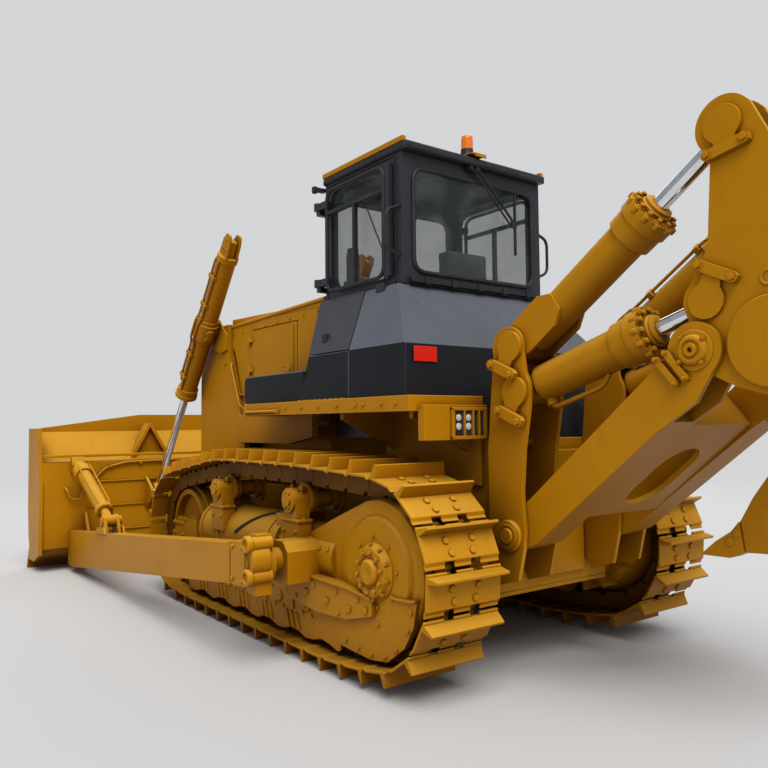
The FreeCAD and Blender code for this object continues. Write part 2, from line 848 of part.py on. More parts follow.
roller_relief = disc("roller_relief", s.roller_first, roller_height, flange + s.side_gap,
                     track_y + tread_out - s.side_gap, track_y + tread_out + 18 + s.side_gap)
track_frame = cut("track_frame_left", fused("track_frame_joined", frame_pieces), [roller_relief])
node("track_frames", pair("track_frame_right", track_frame))

# Hull: belly plate, side rails and cross members
hull_pieces = [
    block("belly", s.case_rear, s.guard_front - 100, -hull_half, hull_half,
          s.hull_low, s.hull_low + s.belly_plate),
]
for index, y_side in enumerate((-1, 1)):
    low = hull_half - s.hull_rail if y_side > 0 else -hull_half
    high = hull_half if y_side > 0 else s.hull_rail - hull_half
    hull_pieces.append(block("hull_rail_%d" % index, s.case_front, s.guard_front - 100,
                             low, high, s.hull_low, s.rail_top))
hull_pieces.append(block("hull_cross", s.engine_front + 150, s.engine_front + 300,
                         -hull_half, hull_half, s.hull_low, s.rail_top))
node("main_frame", [fused("main_frame_solid", hull_pieces)])

# Rear case with the final drives that carry the sprockets
case_low = s.hull_low + s.belly_plate
drive_out = track_y - s.sprocket_width / 2
case_pieces = [
    plate("case_box", [
        (s.case_rear, case_low), (s.case_front, case_low), (s.case_front, s.case_top - 120),
        (s.case_front - 160, s.case_top), (s.case_rear, s.case_top),
    ], s.hull_width),
    block("case_rear_plate", s.case_rear - 24, s.case_rear, -s.hull_width * 0.26,
          s.hull_width * 0.26, case_low + 60, s.case_top - 80),
]
drive_depth = drive_out - hull_half
drive = turned("final_drive_left", [
    (0, 0), (0, s.final_drive_radius - 60), (drive_depth * 0.45, s.final_drive_radius - 40),
    (drive_depth * 0.5, s.final_drive_radius + 20), (drive_depth * 0.75, s.final_drive_radius + 60),
    (drive_depth, s.final_drive_radius + 60), (drive_depth, 0),
], y=hull_half, z=s.sprocket_height)
drive_ribs = []
for index in range(int(number("drive_ribs"))):
    rib = block("drive_rib_%d" % index, s.final_drive_radius - 70, s.final_drive_radius + 40,
                drive_depth * 0.25, drive_depth * 0.7, -11, 11)
    spoke = fused("drive_spoke_%d" % index, [rib])
    spoke.Placement.Rotation = FreeCAD.Rotation(FreeCAD.Vector(0, -1, 0), 360.0 * index)
    bind(spoke, "Placement.Rotation.Angle", as_size(360.0 * index) / s.drive_ribs)
    place(spoke, 0, hull_half, s.sprocket_height)
    drive_ribs.append(spoke)
drive_left = fused("final_drive_ribbed", [drive] + drive_ribs)
node("rear_case", [fused("rear_case_solid", case_pieces)])
node("final_drives", pair("final_drive_right", drive_left))

# Equalizer bar in front and pivot shaft behind carry the hull on the track frames
node("equalizer_bar", [
    block("front_bar", s.equalizer_station - 110, s.equalizer_station + 110,
          s.guard_plate - beam_in, beam_in - s.guard_plate, s.hull_low - 110, s.hull_low),
    block("rear_bar", s.case_front - 420, s.case_front - 200,
          s.guard_plate - beam_in, beam_in - s.guard_plate, s.hull_low - 110, s.hull_low),
])

# Engine, one plain block
node("engine_block", [
    plate("engine_solid", [
        (s.engine_rear, case_low), (s.engine_front, case_low), (s.engine_front, s.engine_top - 200),
        (s.engine_front - 200, s.engine_top), (s.engine_rear, s.engine_top),
    ], s.engine_width),
])

# Radiator guard: side walls, top and nose plate round the grille
guard_half = s.guard_width / 2
wall_inner = guard_half - s.guard_wall
nose_top = s.rail_top + 160
slant_high = s.guard_top - 290
guard_pieces = [
    block("guard_roof", s.guard_rear, s.guard_front, -guard_half, guard_half,
          s.guard_top - s.guard_wall, s.guard_top),
    block("guard_nose", s.guard_front - 100, s.guard_front, -guard_half, guard_half,
          s.hull_low + 250, nose_top),
]
for index, y_side in enumerate((-1, 1)):
    wall_mid = y_side * (guard_half - s.guard_wall / 2)
    guard_pieces.append(plate("guard_wall_%d" % index, [
        (s.guard_foot, s.rail_top), (s.guard_foot + 260, s.hull_low + 380),
        (s.guard_front - 40, s.hull_low + 250), (s.guard_front, s.hull_low + 290),
        (s.guard_front, s.guard_top - 40), (s.guard_front - 40, s.guard_top),
        (s.guard_rear, s.guard_top), (s.guard_rear, slant_high), (s.guard_foot + 60, 1660),
        (s.guard_foot, 1500),
    ], s.guard_wall, y=wall_mid))
    yoke_y = y_side * (guard_half + s.yoke_depth / 2)
    guard_pieces.append(plate("yoke_%d" % index, [
        (s.yoke_station - 105, s.yoke_height + 60), (s.yoke_station - 250, s.yoke_height - 60),
        (s.yoke_station - 250, s.yoke_height - 220), (s.yoke_station - 110, s.yoke_height - 250),
        (s.yoke_station + 60, s.yoke_height - 190), (s.yoke_station + 118, s.yoke_height - 60),
        (s.yoke_station + 118, s.yoke_height + 50), (s.yoke_station + 60, s.yoke_height + 112),
        (s.yoke_station - 50, s.yoke_height + 112),
    ], s.yoke_depth, y=yoke_y))
trunnion_bores = disc("yoke_bores", s.yoke_station, s.yoke_height,
                      s.yoke_pin_radius + s.pin_gap,
                      -guard_half - 60, guard_half + 60)
node("radiator_guard", [cut("radiator_guard_solid", fused("guard_shell", guard_pieces),
                            [trunnion_bores])])

# Grille: a frame with level bars
grille_low, grille_high = nose_top, s.guard_top - s.guard_wall
grille_back = s.guard_front - s.grille_depth
bars = [
    block("grille_left", grille_back, s.guard_front, wall_inner - 50, wall_inner,
          grille_low, grille_high),
    block("grille_right", grille_back, s.guard_front, -wall_inner, 50 - wall_inner,
          grille_low, grille_high),
    block("grille_post", grille_back, s.guard_front, -25, 25, grille_low, grille_high),
]
step = (grille_high - grille_low) / s.grille_bars
for index in range(int(number("grille_bars"))):
    level = grille_low + step * (index + 0.5)
    bars.append(block("grille_bar_%d" % index, grille_back, s.guard_front, -wall_inner, wall_inner,
                      level - 24, level + 24))
node("radiator_grille", [fused("grille_solid", bars)])
node("radiator_core", [block("core", s.guard_rear + 60, grille_back - 60, -wall_inner, wall_inner,
                             grille_low, grille_high)])

# Hood: top sheet and side walls with the engine doors' openings
hood_half = s.hood_width / 2
hood_wall_in = hood_half - s.hood_sheet
node("hood_top", [
    plate("hood_sheet_top", [
        (s.hood_rear, s.hood_top - s.hood_fall - s.hood_sheet),
        (s.hood_front, s.hood_top - s.hood_sheet), (s.hood_front, s.hood_top),
        (s.hood_rear, s.hood_top - s.hood_fall),
    ], s.hood_width),
])
door_gap = s.panel_gap
sides = []
for index, y_side in enumerate((-1, 1)):
    wall_mid = y_side * (hood_half - s.hood_sheet / 2)
    wall = plate("hood_wall_%d" % index, [
        (s.hood_rear, s.deck_top), (s.guard_foot + 90, s.deck_top), (s.guard_rear - 60, slant_high),
        (s.hood_front, slant_high + 60), (s.hood_front, s.hood_top - s.hood_sheet),
        (s.hood_rear, s.hood_top - s.hood_fall - s.hood_sheet),
    ], s.hood_sheet, y=wall_mid)
    opening = block("hood_opening_%d" % index, s.engine_door_rear - door_gap,
                    s.engine_door_front + s.hinge_gap, wall_mid - 50, wall_mid + 50,
                    s.engine_door_low - door_gap, s.engine_door_high + door_gap)
    sides.append(cut("hood_side_%d" % index, wall, [opening]))
node("hood_sides", sides)
engine_hinge_x = s.engine_door_front + s.hinge_gap + s.knuckle
engine_hinge_y = hood_half + 5 + s.knuckle
door_skin_out = hood_half + 8
leaf_pieces = [
    block("engine_leaf", s.engine_door_rear, s.engine_door_front, hood_wall_in, hood_half,
          s.engine_door_low, s.engine_door_high),
    plate("engine_raised_panel", [
        (s.engine_door_rear + 50, s.engine_door_low + 40),
        (s.engine_door_front - 20, s.engine_door_low + 40),
        (s.engine_door_front - 20, s.engine_door_high - 30),
        (s.engine_door_rear + 50, s.engine_door_high - 30),
    ], 8, y=hood_half + 4),
]
leaf_bores, leaf_pins = [], []
for index, level in enumerate((s.engine_door_low + 90, s.engine_door_high - 90)):
    leaf_pieces += [
        block("leaf_strap_%d" % index, s.engine_door_front - 60, engine_hinge_x,
              door_skin_out - 1, engine_hinge_y + 6, level - 24, level + 24),
        post_z("leaf_knuckle_%d" % index, engine_hinge_x, engine_hinge_y, level - 24,
               level + 24, s.knuckle),
    ]
    leaf_bores.append(post_z("leaf_bore_%d" % index, engine_hinge_x, engine_hinge_y,
                             level - 60, level + 60, s.knuckle - 6 + s.pin_gap))
    leaf_pins += [
        post_z("leaf_pin_%d" % index, engine_hinge_x, engine_hinge_y, level - 54,
               level + 27, s.knuckle - 6),
        block("leaf_bracket_%d" % index, engine_hinge_x - s.knuckle, engine_hinge_x + 30,
              hood_half, engine_hinge_y + s.knuckle, level - 54, level - 25),
    ]
leaf = cut("engine_door_solid", fused("engine_door_raw", leaf_pieces), leaf_bores)
node("engine_door_left", [leaf])
node("engine_door_right", [mirrored("engine_door_mirror", leaf)])
node("hood_hinges", pair("hood_hinge_right", fused("hood_hinge_left", leaf_pins)))

# Decks over the tracks, with a skirt, a box under the front part and gussets
deck_low = s.deck_top - s.deck_thick
skirt = s.deck_sheet
deck_pieces = [
    block("deck_rear_part", s.deck_rear, s.hood_rear, s.cab_inner, s.deck_edge,
          s.deck_top - skirt, s.deck_top),
    block("deck_front_part", s.hood_rear, s.deck_front, hood_half, s.deck_edge,
          s.deck_top - skirt, s.deck_top),
    block("deck_skirt", s.deck_rear, s.deck_front, s.deck_edge - skirt, s.deck_edge,
          deck_low, s.deck_top),
    block("deck_tail", s.deck_rear, s.deck_rear + skirt, s.cab_inner, s.deck_edge,
          deck_low, s.deck_top),
    block("deck_nose", s.deck_front - skirt, s.deck_front, hood_half, s.deck_edge,
          deck_low, s.deck_top),
    block("deck_apron", s.deck_rear, s.case_front - 60, hull_half, s.cab_inner,
          s.case_top - 300, s.deck_top),
    plate("deck_front_box", [
        (s.deck_front - 420, s.deck_top - skirt), (s.deck_front - 420, 1500),
        (s.deck_front - 30, 1440), (s.guard_foot - 40, 1440), (s.guard_foot - 10, 1480),
        (s.guard_foot + 40, 1640), (s.guard_foot - 20, 1700), (s.deck_front, 1720),
        (s.deck_front, s.deck_top - skirt),
    ], 60, y=hood_half + 90),
    block("deck_front_shelf", s.deck_front - 420, s.guard_foot, hood_wall_in, hood_half + 70,
          1600, 1640),
]
for index, station in enumerate((s.deck_rear + 130, s.case_front - 160)):
    deck_pieces.append(plate("deck_gusset_%d" % index, [
        (s.cab_inner, s.case_top - 80), (s.deck_edge - 120, deck_low - 40),
        (s.deck_edge - 120, s.deck_top - skirt), (s.cab_inner, s.deck_top - skirt),
    ], 40, role="YZ_Plane", x=station))
deck = fused("deck_left", deck_pieces)
node("decks", pair("deck_right", deck))


# Tank and consoles: faceted, from three level outlines each
def level_outline(name, x0, x1, y0, y1, z):
    sketch = doc.addObject("Sketcher::SketchObject", name)
    draw(sketch, [(x0, y0), (x1, y0), (x1, y1), (x0, y1)])
    place(sketch, z=z)
    return sketch


def faceted(name, rows):
    """A solid through level outlines; columns: rear x, front x, right y, left y, z."""
    loft = doc.addObject("Part::Loft", name)
    loft.Sections = [level_outline("%s_%d" % (name, number_), *row)
                     for number_, row in enumerate(rows)]
    loft.Solid = True
    loft.Ruled = True
    return loft


tank_raw = faceted("tank_raw", [
    (s.tank_rear_foot, s.seam_foot, -s.tank_foot, s.tank_foot, s.deck_top),
    (s.tank_rear_crease, s.seam_crease, -s.tank_crease, s.tank_crease, s.crease_height),
    (s.tank_rear_shoulder, s.seam_shoulder, -s.tank_shoulder, s.tank_shoulder, s.sill_height),
])
cab_front_inner = s.cab_front - s.cab_wall
cab_rear_inner = s.cab_rear + s.cab_wall
tank_room = block("tank_room", cab_rear_inner, s.cab_front + 400, -s.cab_inner,
                  s.cab_inner, s.deck_top - 100, s.sill_height + 100)
node("rear_tank", [cut("rear_tank_solid", tank_raw, [tank_room])])
console = fused("console_left", [
    faceted("console_step", [
        (s.seam_foot + door_gap, s.console_front, s.cab_inner, s.tank_foot, s.deck_top),
        (s.seam_crease + door_gap, s.console_front, s.cab_inner, s.tank_crease, s.crease_height),
    ]),
    faceted("console_cheek", [
        (s.console_front - s.skin, s.console_front, s.cab_inner,
         s.tank_crease - s.skin - s.side_gap, s.crease_height),
        (s.console_shoulder - s.skin, s.console_shoulder, s.cab_inner,
         s.tank_shoulder - s.skin - s.side_gap, s.sill_height),
    ]),
])
node("consoles", pair("console_right", console))
low_box = plate("low_box_left", [
    (s.console_front, s.deck_top), (s.low_box_front, s.deck_top), (s.low_box_front + 36, 1816),
    (s.low_box_front + 36, s.low_box_top - 36), (s.low_box_front, s.low_box_top),
    (s.console_front, s.low_box_top),
], s.low_box_edge - hood_half, y=(s.low_box_edge + hood_half) / 2)
node("low_boxes", pair("low_box_right", low_box))

# Cab: floor, rear and front panels, door frames, roof
cab_in_half = s.cab_half - s.cab_wall
node("cab_floor", [
    block("floor_solid", s.deck_rear, s.hood_rear - 20, -hull_half, hull_half,
          s.case_top, s.deck_top),
    block("floor_plate", cab_rear_inner, cab_front_inner, -s.cab_inner,
          s.cab_inner, s.deck_top, s.floor_height),
])


def window_tool(name, outline_low, outline_high, depth, role, x=0, y=0, inset=0):
    """A window cut with rounded corners, from two opposite corners."""
    (a0, b0), (a1, b1) = outline_low, outline_high
    a0, b0, a1, b1 = a0 + inset, b0 + inset, a1 - inset, b1 - inset
    turn = s.window_radius
    near = turn * 0.3
    return plate(name, [
        (a0 + near, b0 + near), (a0 + turn, b0), (a1 - turn, b0), (a1 - near, b0 + near),
        (a1, b0 + turn), (a1, b1 - turn), (a1 - near, b1 - near), (a1 - turn, b1),
        (a0 + turn, b1), (a0 + near, b1 - near), (a0, b1 - turn), (a0, b0 + turn),
    ], depth, role=role, x=x, y=y)


wall_low = s.sill_height + s.sill_lift
rear_mid = s.cab_rear + s.cab_wall / 2
front_mid = s.cab_front - s.cab_wall / 2
rear_wall = block("rear_wall", s.cab_rear, cab_rear_inner, -s.cab_half, s.cab_half,
                  s.sill_height, s.roof_low)
window_half = as_size(625)
rear_window = ((-window_half, s.sill_height + 95), (window_half, s.roof_low - 105))
node("cab_rear_panel", [cut("cab_rear_solid", rear_wall, [
    window_tool("rear_window", *rear_window, s.cab_wall * 3, "YZ_Plane", x=rear_mid)])])
front_wall = fused("front_wall", [
    block("front_wall_high", cab_front_inner, s.cab_front, -s.cab_half, s.cab_half,
          wall_low, s.roof_low),
    block("front_wall_low", cab_front_inner, s.cab_front, -s.cab_inner, s.cab_inner,
          s.deck_top, wall_low),
])
front_window = ((-window_half, wall_low + 90), (window_half, s.roof_low - 105))
node("cab_front_panel", [cut("cab_front_solid", front_wall, [
    window_tool("front_window", *front_window, s.cab_wall * 3, "YZ_Plane", x=front_mid)])])
frames = []
for index, y_side in enumerate((-1, 1)):
    low = cab_in_half if y_side > 0 else -s.cab_half
    high = s.cab_half if y_side > 0 else -cab_in_half
    frame_wall = block("side_wall_%d" % index, cab_rear_inner, cab_front_inner,
                       low, high, s.sill_height, s.roof_low)
    doorway = block("doorway_%d" % index, s.door_rear - door_gap, s.cab_front,
                    low - 50, high + 50, s.sill_height - 50, s.door_high + door_gap)
    frames.append(cut("side_frame_%d" % index, frame_wall, [doorway]))
node("cab_sides", frames)
roof_half = s.cab_half + s.roof_overhang / 2
roof_rim = s.roof_top - 30
node("cab_roof", [
    fused("roof_solid", [
        faceted("roof_panel", [
            (s.roof_rear, s.roof_front, -roof_half, roof_half, s.roof_low),
            (s.roof_rear, s.roof_front, -roof_half, roof_half, roof_rim),
        ]),
        faceted("roof_crown", [
            (s.roof_rear + 20, s.roof_front - 20, 20 - roof_half, roof_half - 20, roof_rim),
            (s.roof_rear + 60, s.roof_front - 60, 60 - roof_half, roof_half - 60, s.roof_top),
        ]),
    ]),
])

# Doors: a flat frame round the window over a slanted skirt panel, hinged in front
door_low = s.sill_height + door_gap
door_window = ((s.door_rear + 30, door_low + 60), (s.door_front - 40, s.door_high - 45))
door_mid = s.cab_half - s.cab_wall / 2
door_flat = block("door_flat", s.door_rear, s.door_front, cab_in_half, s.cab_half,
                  door_low, s.door_high)
door_skirt = faceted("door_skirt", [
    (s.seam_crease + door_gap, s.console_front, s.tank_crease - s.skin, s.tank_crease,
     s.crease_height + door_gap),
    (s.seam_shoulder + door_gap, s.console_shoulder, s.tank_shoulder - s.skin, s.tank_shoulder,
     door_low),
])
door_ledge = block("door_ledge", s.seam_shoulder + door_gap, s.door_front, cab_in_half,
                   s.tank_shoulder, door_low - 24, door_low)
hinge_levels = (s.sill_height + 150, s.door_high - 150)
door_knuckles, door_bores, door_pins = [], [], []
for index, level in enumerate(hinge_levels):
    door_knuckles += [
        block("door_strap_%d" % index, s.door_front - 60, s.hinge_station, s.cab_half + s.side_gap,
              s.hinge_y + s.knuckle, level - 30, level + 30),
        block("door_strap_seat_%d" % index, s.door_front - 60, s.door_front, s.cab_half,
              s.cab_half + s.side_gap, level - 30, level + 30),
        post_z("door_knuckle_%d" % index, s.hinge_station, s.hinge_y, level - 30, level + 30,
               s.hinge_y - s.cab_half - s.side_gap),
    ]
    door_bores.append(post_z("door_bore_%d" % index, s.hinge_station, s.hinge_y, level - 90,
                             level + 90, s.door_pin_radius + s.pin_gap))
    door_pins += [
        post_z("door_pin_%d" % index, s.hinge_station, s.hinge_y, level - 70, level + 34,
               s.door_pin_radius),
        block("door_bracket_%d" % index, s.cab_front, s.hinge_station + s.knuckle,
              s.cab_half - 30, s.hinge_y + s.knuckle, level - 70, level - 32),
    ]
node("cab_hinges", pair("cab_hinge_right", fused("cab_hinge_left", door_pins)))
door_left = cut("cab_door_solid", fused("door_raw", [door_flat, door_skirt, door_ledge]
                                        + door_knuckles), [
    window_tool("door_window", *door_window, s.cab_wall * 3, "XZ_Plane", y=door_mid)]
                + door_bores)
door_pane = window_tool("door_pane", *door_window, s.glass, "XZ_Plane", y=door_mid)
node("cab_door_left", [door_left])
node("cab_door_right", [mirrored("cab_door_mirror", door_left)])
node("door_glass_left", [door_pane])
node("door_glass_right", [mirrored("door_pane_mirror", door_pane)])
node("cab_glass", [
    window_tool("rear_pane", *rear_window, s.glass, "YZ_Plane", x=rear_mid),
    window_tool("front_pane", *front_window, s.glass, "YZ_Plane", x=front_mid),
])

# Seat and dash
seat_x = cab_rear_inner + 330
seat_low = s.floor_height + 330
node("seat_base", [block("seat_box", seat_x - 200, seat_x + 180, -200, 200,
                         s.floor_height, seat_low)])
node("seat_cushion", [plate("cushion", [
    (seat_x - 240, seat_low), (seat_x + 230, seat_low), (seat_x + 250, seat_low + 70),
    (seat_x + 200, seat_low + 120), (seat_x - 240, seat_low + 90),
], 500)])
node("seat_back", [plate("back_rest", [
    (seat_x - 240, seat_low + 90.3), (seat_x - 130, seat_low + 97.8), (seat_x - 170, seat_low + 640),
    (seat_x - 220, seat_low + 680), (seat_x - 290, seat_low + 660), (seat_x - 300, seat_low + 300),
], 460)])
node("dash", [plate("dash_box", [
    (cab_front_inner - 140, s.floor_height), (cab_front_inner, s.floor_height),
    (cab_front_inner, s.floor_height + 760), (cab_front_inner - 90, s.floor_height + 760),
    (cab_front_inner - 170, s.floor_height + 640),
], 620)])

# Lamps, beacon and exhaust
node("beacon", [turned_z("beacon_body", [
    (0, 0), (48, 0), (48, 34), (42, 40), (42, 146), (32, 176), (0, 176),
], s.roof_rear + 110, s.beacon_y, s.roof_top)])
lamp = block("lamp_box_left", s.deck_rear - s.lamp_depth, s.deck_rear, s.lamp_inner, s.lamp_outer,
             s.case_top, s.deck_top - 60)
node("lamp_boxes", pair("lamp_box_right", lamp))
exhaust = turned_z("exhaust_pipe", [
    (0, -100), (120, -100), (120, 40), (66, 60), (66, 640), (56, 660), (56, 700), (0, 700),
], s.exhaust_station, -s.exhaust_offset, s.hood_top - s.hood_fall / 2)
under_hood = plate("under_hood", [
    (s.hood_rear, s.hood_top - s.hood_fall - 400), (s.hood_front, s.hood_top - 400),
    (s.hood_front, s.hood_top), (s.hood_rear, s.hood_top - s.hood_fall),
], s.hood_width)
node("exhaust_stack", [cut("exhaust_solid", exhaust, [under_hood])])

# Blade: a curved front on a box-section back, with end plates, ribs and ears
blade_half = s.blade_width / 2
blade_inner = blade_half - s.blade_side_plate
lip = s.blade_end_top - 20
crown_rear = s.blade_tip - 70 - s.moldboard
front_curve = [
    (s.blade_tip - 90, 110), (s.blade_tip - 175, 320), (s.blade_tip - 232, 560),
    (s.blade_tip - 255, 800), (s.blade_tip - 245, 1030), (s.blade_tip - 200, 1250),
    (s.blade_tip - 130, 1420), (s.blade_tip - 70, lip),
]
mold = plate("moldboard_box", front_curve + [
    (crown_rear, lip), (s.blade_tip - 190 - s.moldboard, 1400), (s.blade_back + 190, s.shelf_height),
    (s.blade_back, s.shelf_height - 30), (s.blade_back, 260), (s.blade_back + 60, 190),
    (s.blade_back + 300, 110),
], blade_inner * 2)
crown = cross_plate("blade_crown", [
    (-blade_half, lip - 10), (blade_half, lip - 10), (blade_half, lip + 30),
    (s.blade_width * 0.195, s.blade_top), (s.blade_width * -0.195, s.blade_top),
    (-blade_half, lip + 30),
], s.moldboard, x=crown_rear + s.moldboard / 2)
blade_pieces = [mold, crown]
for index, y_side in enumerate((-1, 1)):
    blade_pieces.append(plate("blade_end_%d" % index, [
        (s.blade_back - 20, 200), (s.blade_back + 200, 110), (s.blade_tip - 90, 110),
        (s.blade_tip - 134.5, 230), (s.blade_tip - 80, 340), (s.blade_tip - 30, 700),
        (s.blade_tip - 20, s.blade_end_top + 20), (s.blade_back + 60, s.blade_end_top + 20),
        (s.blade_back + 20, 1200), (s.blade_back - 20, 900),
    ], s.blade_side_plate, y=y_side * (blade_half - s.blade_side_plate / 2)))
    blade_pieces.append(cut("blade_peak_%d" % index, cross_plate("peak_bent_%d" % index, [
        (y_side * 512, s.shelf_height), (y_side * 1004, s.shelf_height),
        (y_side * 808, s.blade_top - 150), (y_side * 784, s.blade_top - 106),
        (y_side * 746, s.blade_top - 106), (y_side * 722, s.blade_top - 150),
    ], 180, x=s.blade_tip - 250 - s.moldboard), [cross_plate("peak_hollow_%d" % index, [
        (y_side * 548, s.shelf_height - 10), (y_side * 964, s.shelf_height - 10),
        (y_side * 766, s.blade_top - 152),
    ], 400, x=s.blade_tip - 250 - s.moldboard)]))
    blade_pieces.append(plate("blade_gusset_%d" % index, [
        (s.blade_back - 150, 80), (s.blade_back + 20, 110), (s.blade_back + 20, 640),
        (s.blade_back - 30, 640), (s.blade_back - 150, 440),
    ], 30, y=y_side * (s.arm_outer - s.arm_width - 20)))
    for ear, shift in (("inner", -1), ("outer", 1)):
        ear_y = y_side * (s.lift_y + shift * (s.lift_eye_half + s.side_gap + s.ear_plate / 2))
        blade_pieces.append(plate("lift_ear_%d_%s" % (index, ear), [
            (s.lift_pin_station - 70, s.lift_pin_height - 40),
            (s.lift_pin_station - 70, s.lift_pin_height + 40),
            (s.lift_pin_station - 20, s.lift_pin_height + 85),
            (s.blade_back, s.lift_pin_height + 190), (s.blade_back, s.lift_pin_height - 190),
            (s.lift_pin_station - 20, s.lift_pin_height - 85),
        ], s.ear_plate, y=ear_y))
    strut_y = y_side * (s.arm_outer - s.arm_width / 2)
    blade_pieces.append(plate("strut_foot_%d" % index, [
        (s.blade_back, 1080), (s.blade_back, 1270), (s.strut_head_station + 60, 1270),
        (s.strut_head_station + 6, 1178), (s.strut_head_station + 52, 1102),
    ], 130, y=strut_y))
blade_solid = fused("blade_solid", blade_pieces)
node("blade", [blade_solid])
node("cutting_edge", [
    plate("edge_bar", [
        (s.blade_tip, 0), (s.blade_tip - 105, 230), (s.blade_tip - 134.5, 230),
        (s.blade_tip - 90, 110), (s.blade_tip - 50, 0),
    ], s.blade_width),
])

# Push arms with their trunnion bearings
arm_y = s.arm_outer - s.arm_width / 2
arm_body = fused("push_arm_body", [
    plate("push_arm_beam", [
        (s.trunnion_station + 60, s.trunnion_height - 150),
        (s.trunnion_station + 60, s.trunnion_height + 110),
        (s.trunnion_station + 200, s.trunnion_height + 110),
        (s.blade_back - 120, 450), (s.blade_back, 450), (s.blade_back, 75),
        (s.blade_back - 200, 75), (s.trunnion_station + 200, s.trunnion_height - 160),
    ], s.arm_width, y=arm_y),
    disc("push_arm_bearing", s.trunnion_station, s.trunnion_height, s.arm_bearing,
         s.arm_outer - s.arm_width, s.arm_outer),
    plate("bearing_cap", [
        (s.trunnion_station - 130, s.trunnion_height - 195),
        (s.trunnion_station - 30, s.trunnion_height - 195),
        (s.trunnion_station + 80, s.trunnion_height - 150),
        (s.trunnion_station + 80, s.trunnion_height + 150),
        (s.trunnion_station - 30, s.trunnion_height + 195),
        (s.trunnion_station - 130, s.trunnion_height + 195),
    ], s.arm_width - 50, y=arm_y),
])
arm = cut("push_arm_left", arm_body, [
    disc("trunnion_bore", s.trunnion_station, s.trunnion_height, s.trunnion_radius + s.pin_gap,
         s.arm_outer - s.arm_width - 50, s.arm_outer + 50)])
arm_ears = [arm]
for index, shift in enumerate((-1, 1)):
    arm_ears.append(plate("strut_ear_%d" % index, [
        (s.strut_foot_station - 130, 530), (s.strut_foot_station + 110, 505),
        (s.strut_foot_station + 60, s.strut_foot_height + 20),
        (s.strut_foot_station + 10, s.strut_foot_height + 65),
        (s.strut_foot_station - 50, s.strut_foot_height + 40),
    ], 30, y=arm_y + shift * 62))
arm_whole = fused("push_arm_whole", arm_ears)
node("push_arms", pair("push_arm_right", arm_whole))

# Tilt struts from the arms up to the blade: a cylinder on the left, a plain brace on the right
strut_rise = s.strut_head_height - s.strut_foot_height
strut_run = s.strut_head_station - s.strut_foot_station
strut_reach = span(strut_rise, strut_run)
strut_angle = slant(strut_rise, strut_run)


def strut(name, outline):
    """A turned strut with an eye at its foot, set between the arm and the blade."""
    body = turned_x(name + "_body", outline)
    eye = disc(name + "_eye", 0, 0, 58, -46.7, 46.7)
    return body, eye


def set_strut(name, y_side, outline):
    body, eye = strut(name, outline)
    whole = fused(name, [body, eye])
    turn_about_y(whole, strut_angle)
    place(whole, s.strut_foot_station, y_side * arm_y, s.strut_foot_height)
    return whole


node("tilt_cylinder", [set_strut("tilt_cylinder_left", 1, [
    (30, 0), (30, 44), (strut_reach * 0.15, 44), (strut_reach * 0.15, 84),
    (strut_reach * 0.19, 84), (strut_reach * 0.19, 72), (strut_reach * 0.88, 72),
    (strut_reach * 0.92, 60), (strut_reach - 1, 60), (strut_reach - 1, 0),
])])
node("tilt_brace", [set_strut("tilt_brace_right", -1, [
    (30, 0), (30, 42), (110, 42), (150, 66), (strut_reach * 0.90, 66),
    (strut_reach * 0.94, 52), (strut_reach - 1, 52), (strut_reach - 1, 0),
])])

# Blade lift cylinders, hung by their trunnions from the radiator guard
lift_rise = s.lift_pin_height - s.yoke_height
lift_run = s.lift_pin_station - s.yoke_station
lift_reach = span(lift_rise, lift_run)
lift_angle = slant(lift_rise, lift_run)


def hollow_barrel(name, x0, x1, radius, bore, gland_radius, gland):
    """A closed barrel with a flanged gland, open at its far end for the rod."""
    return turned_x(name, [
        (x0, 0), (x0, radius - 22), (x0 + 22, radius), (x1 - gland - 40, radius),
        (x1 - gland - 40, gland_radius), (x1 - gland + 8, gland_radius),
        (x1 - gland + 8, radius + 4), (x1 - gland + 20, radius + 4),
        (x1 - gland + 20, gland_radius), (x1 - 30, gland_radius), (x1 - 30, bore + 34),
        (x1, bore + 34), (x1, bore), (x0 + 36, bore), (x0 + 36, 0),
    ])


def set_along(name, pieces, y, x, z, angle):
    """Joins pieces drawn along X and sets them on their pivot at an angle."""
    whole = fused(name, pieces)
    turn_about_y(whole, angle)
    place(whole, x, y, z)
    return whole


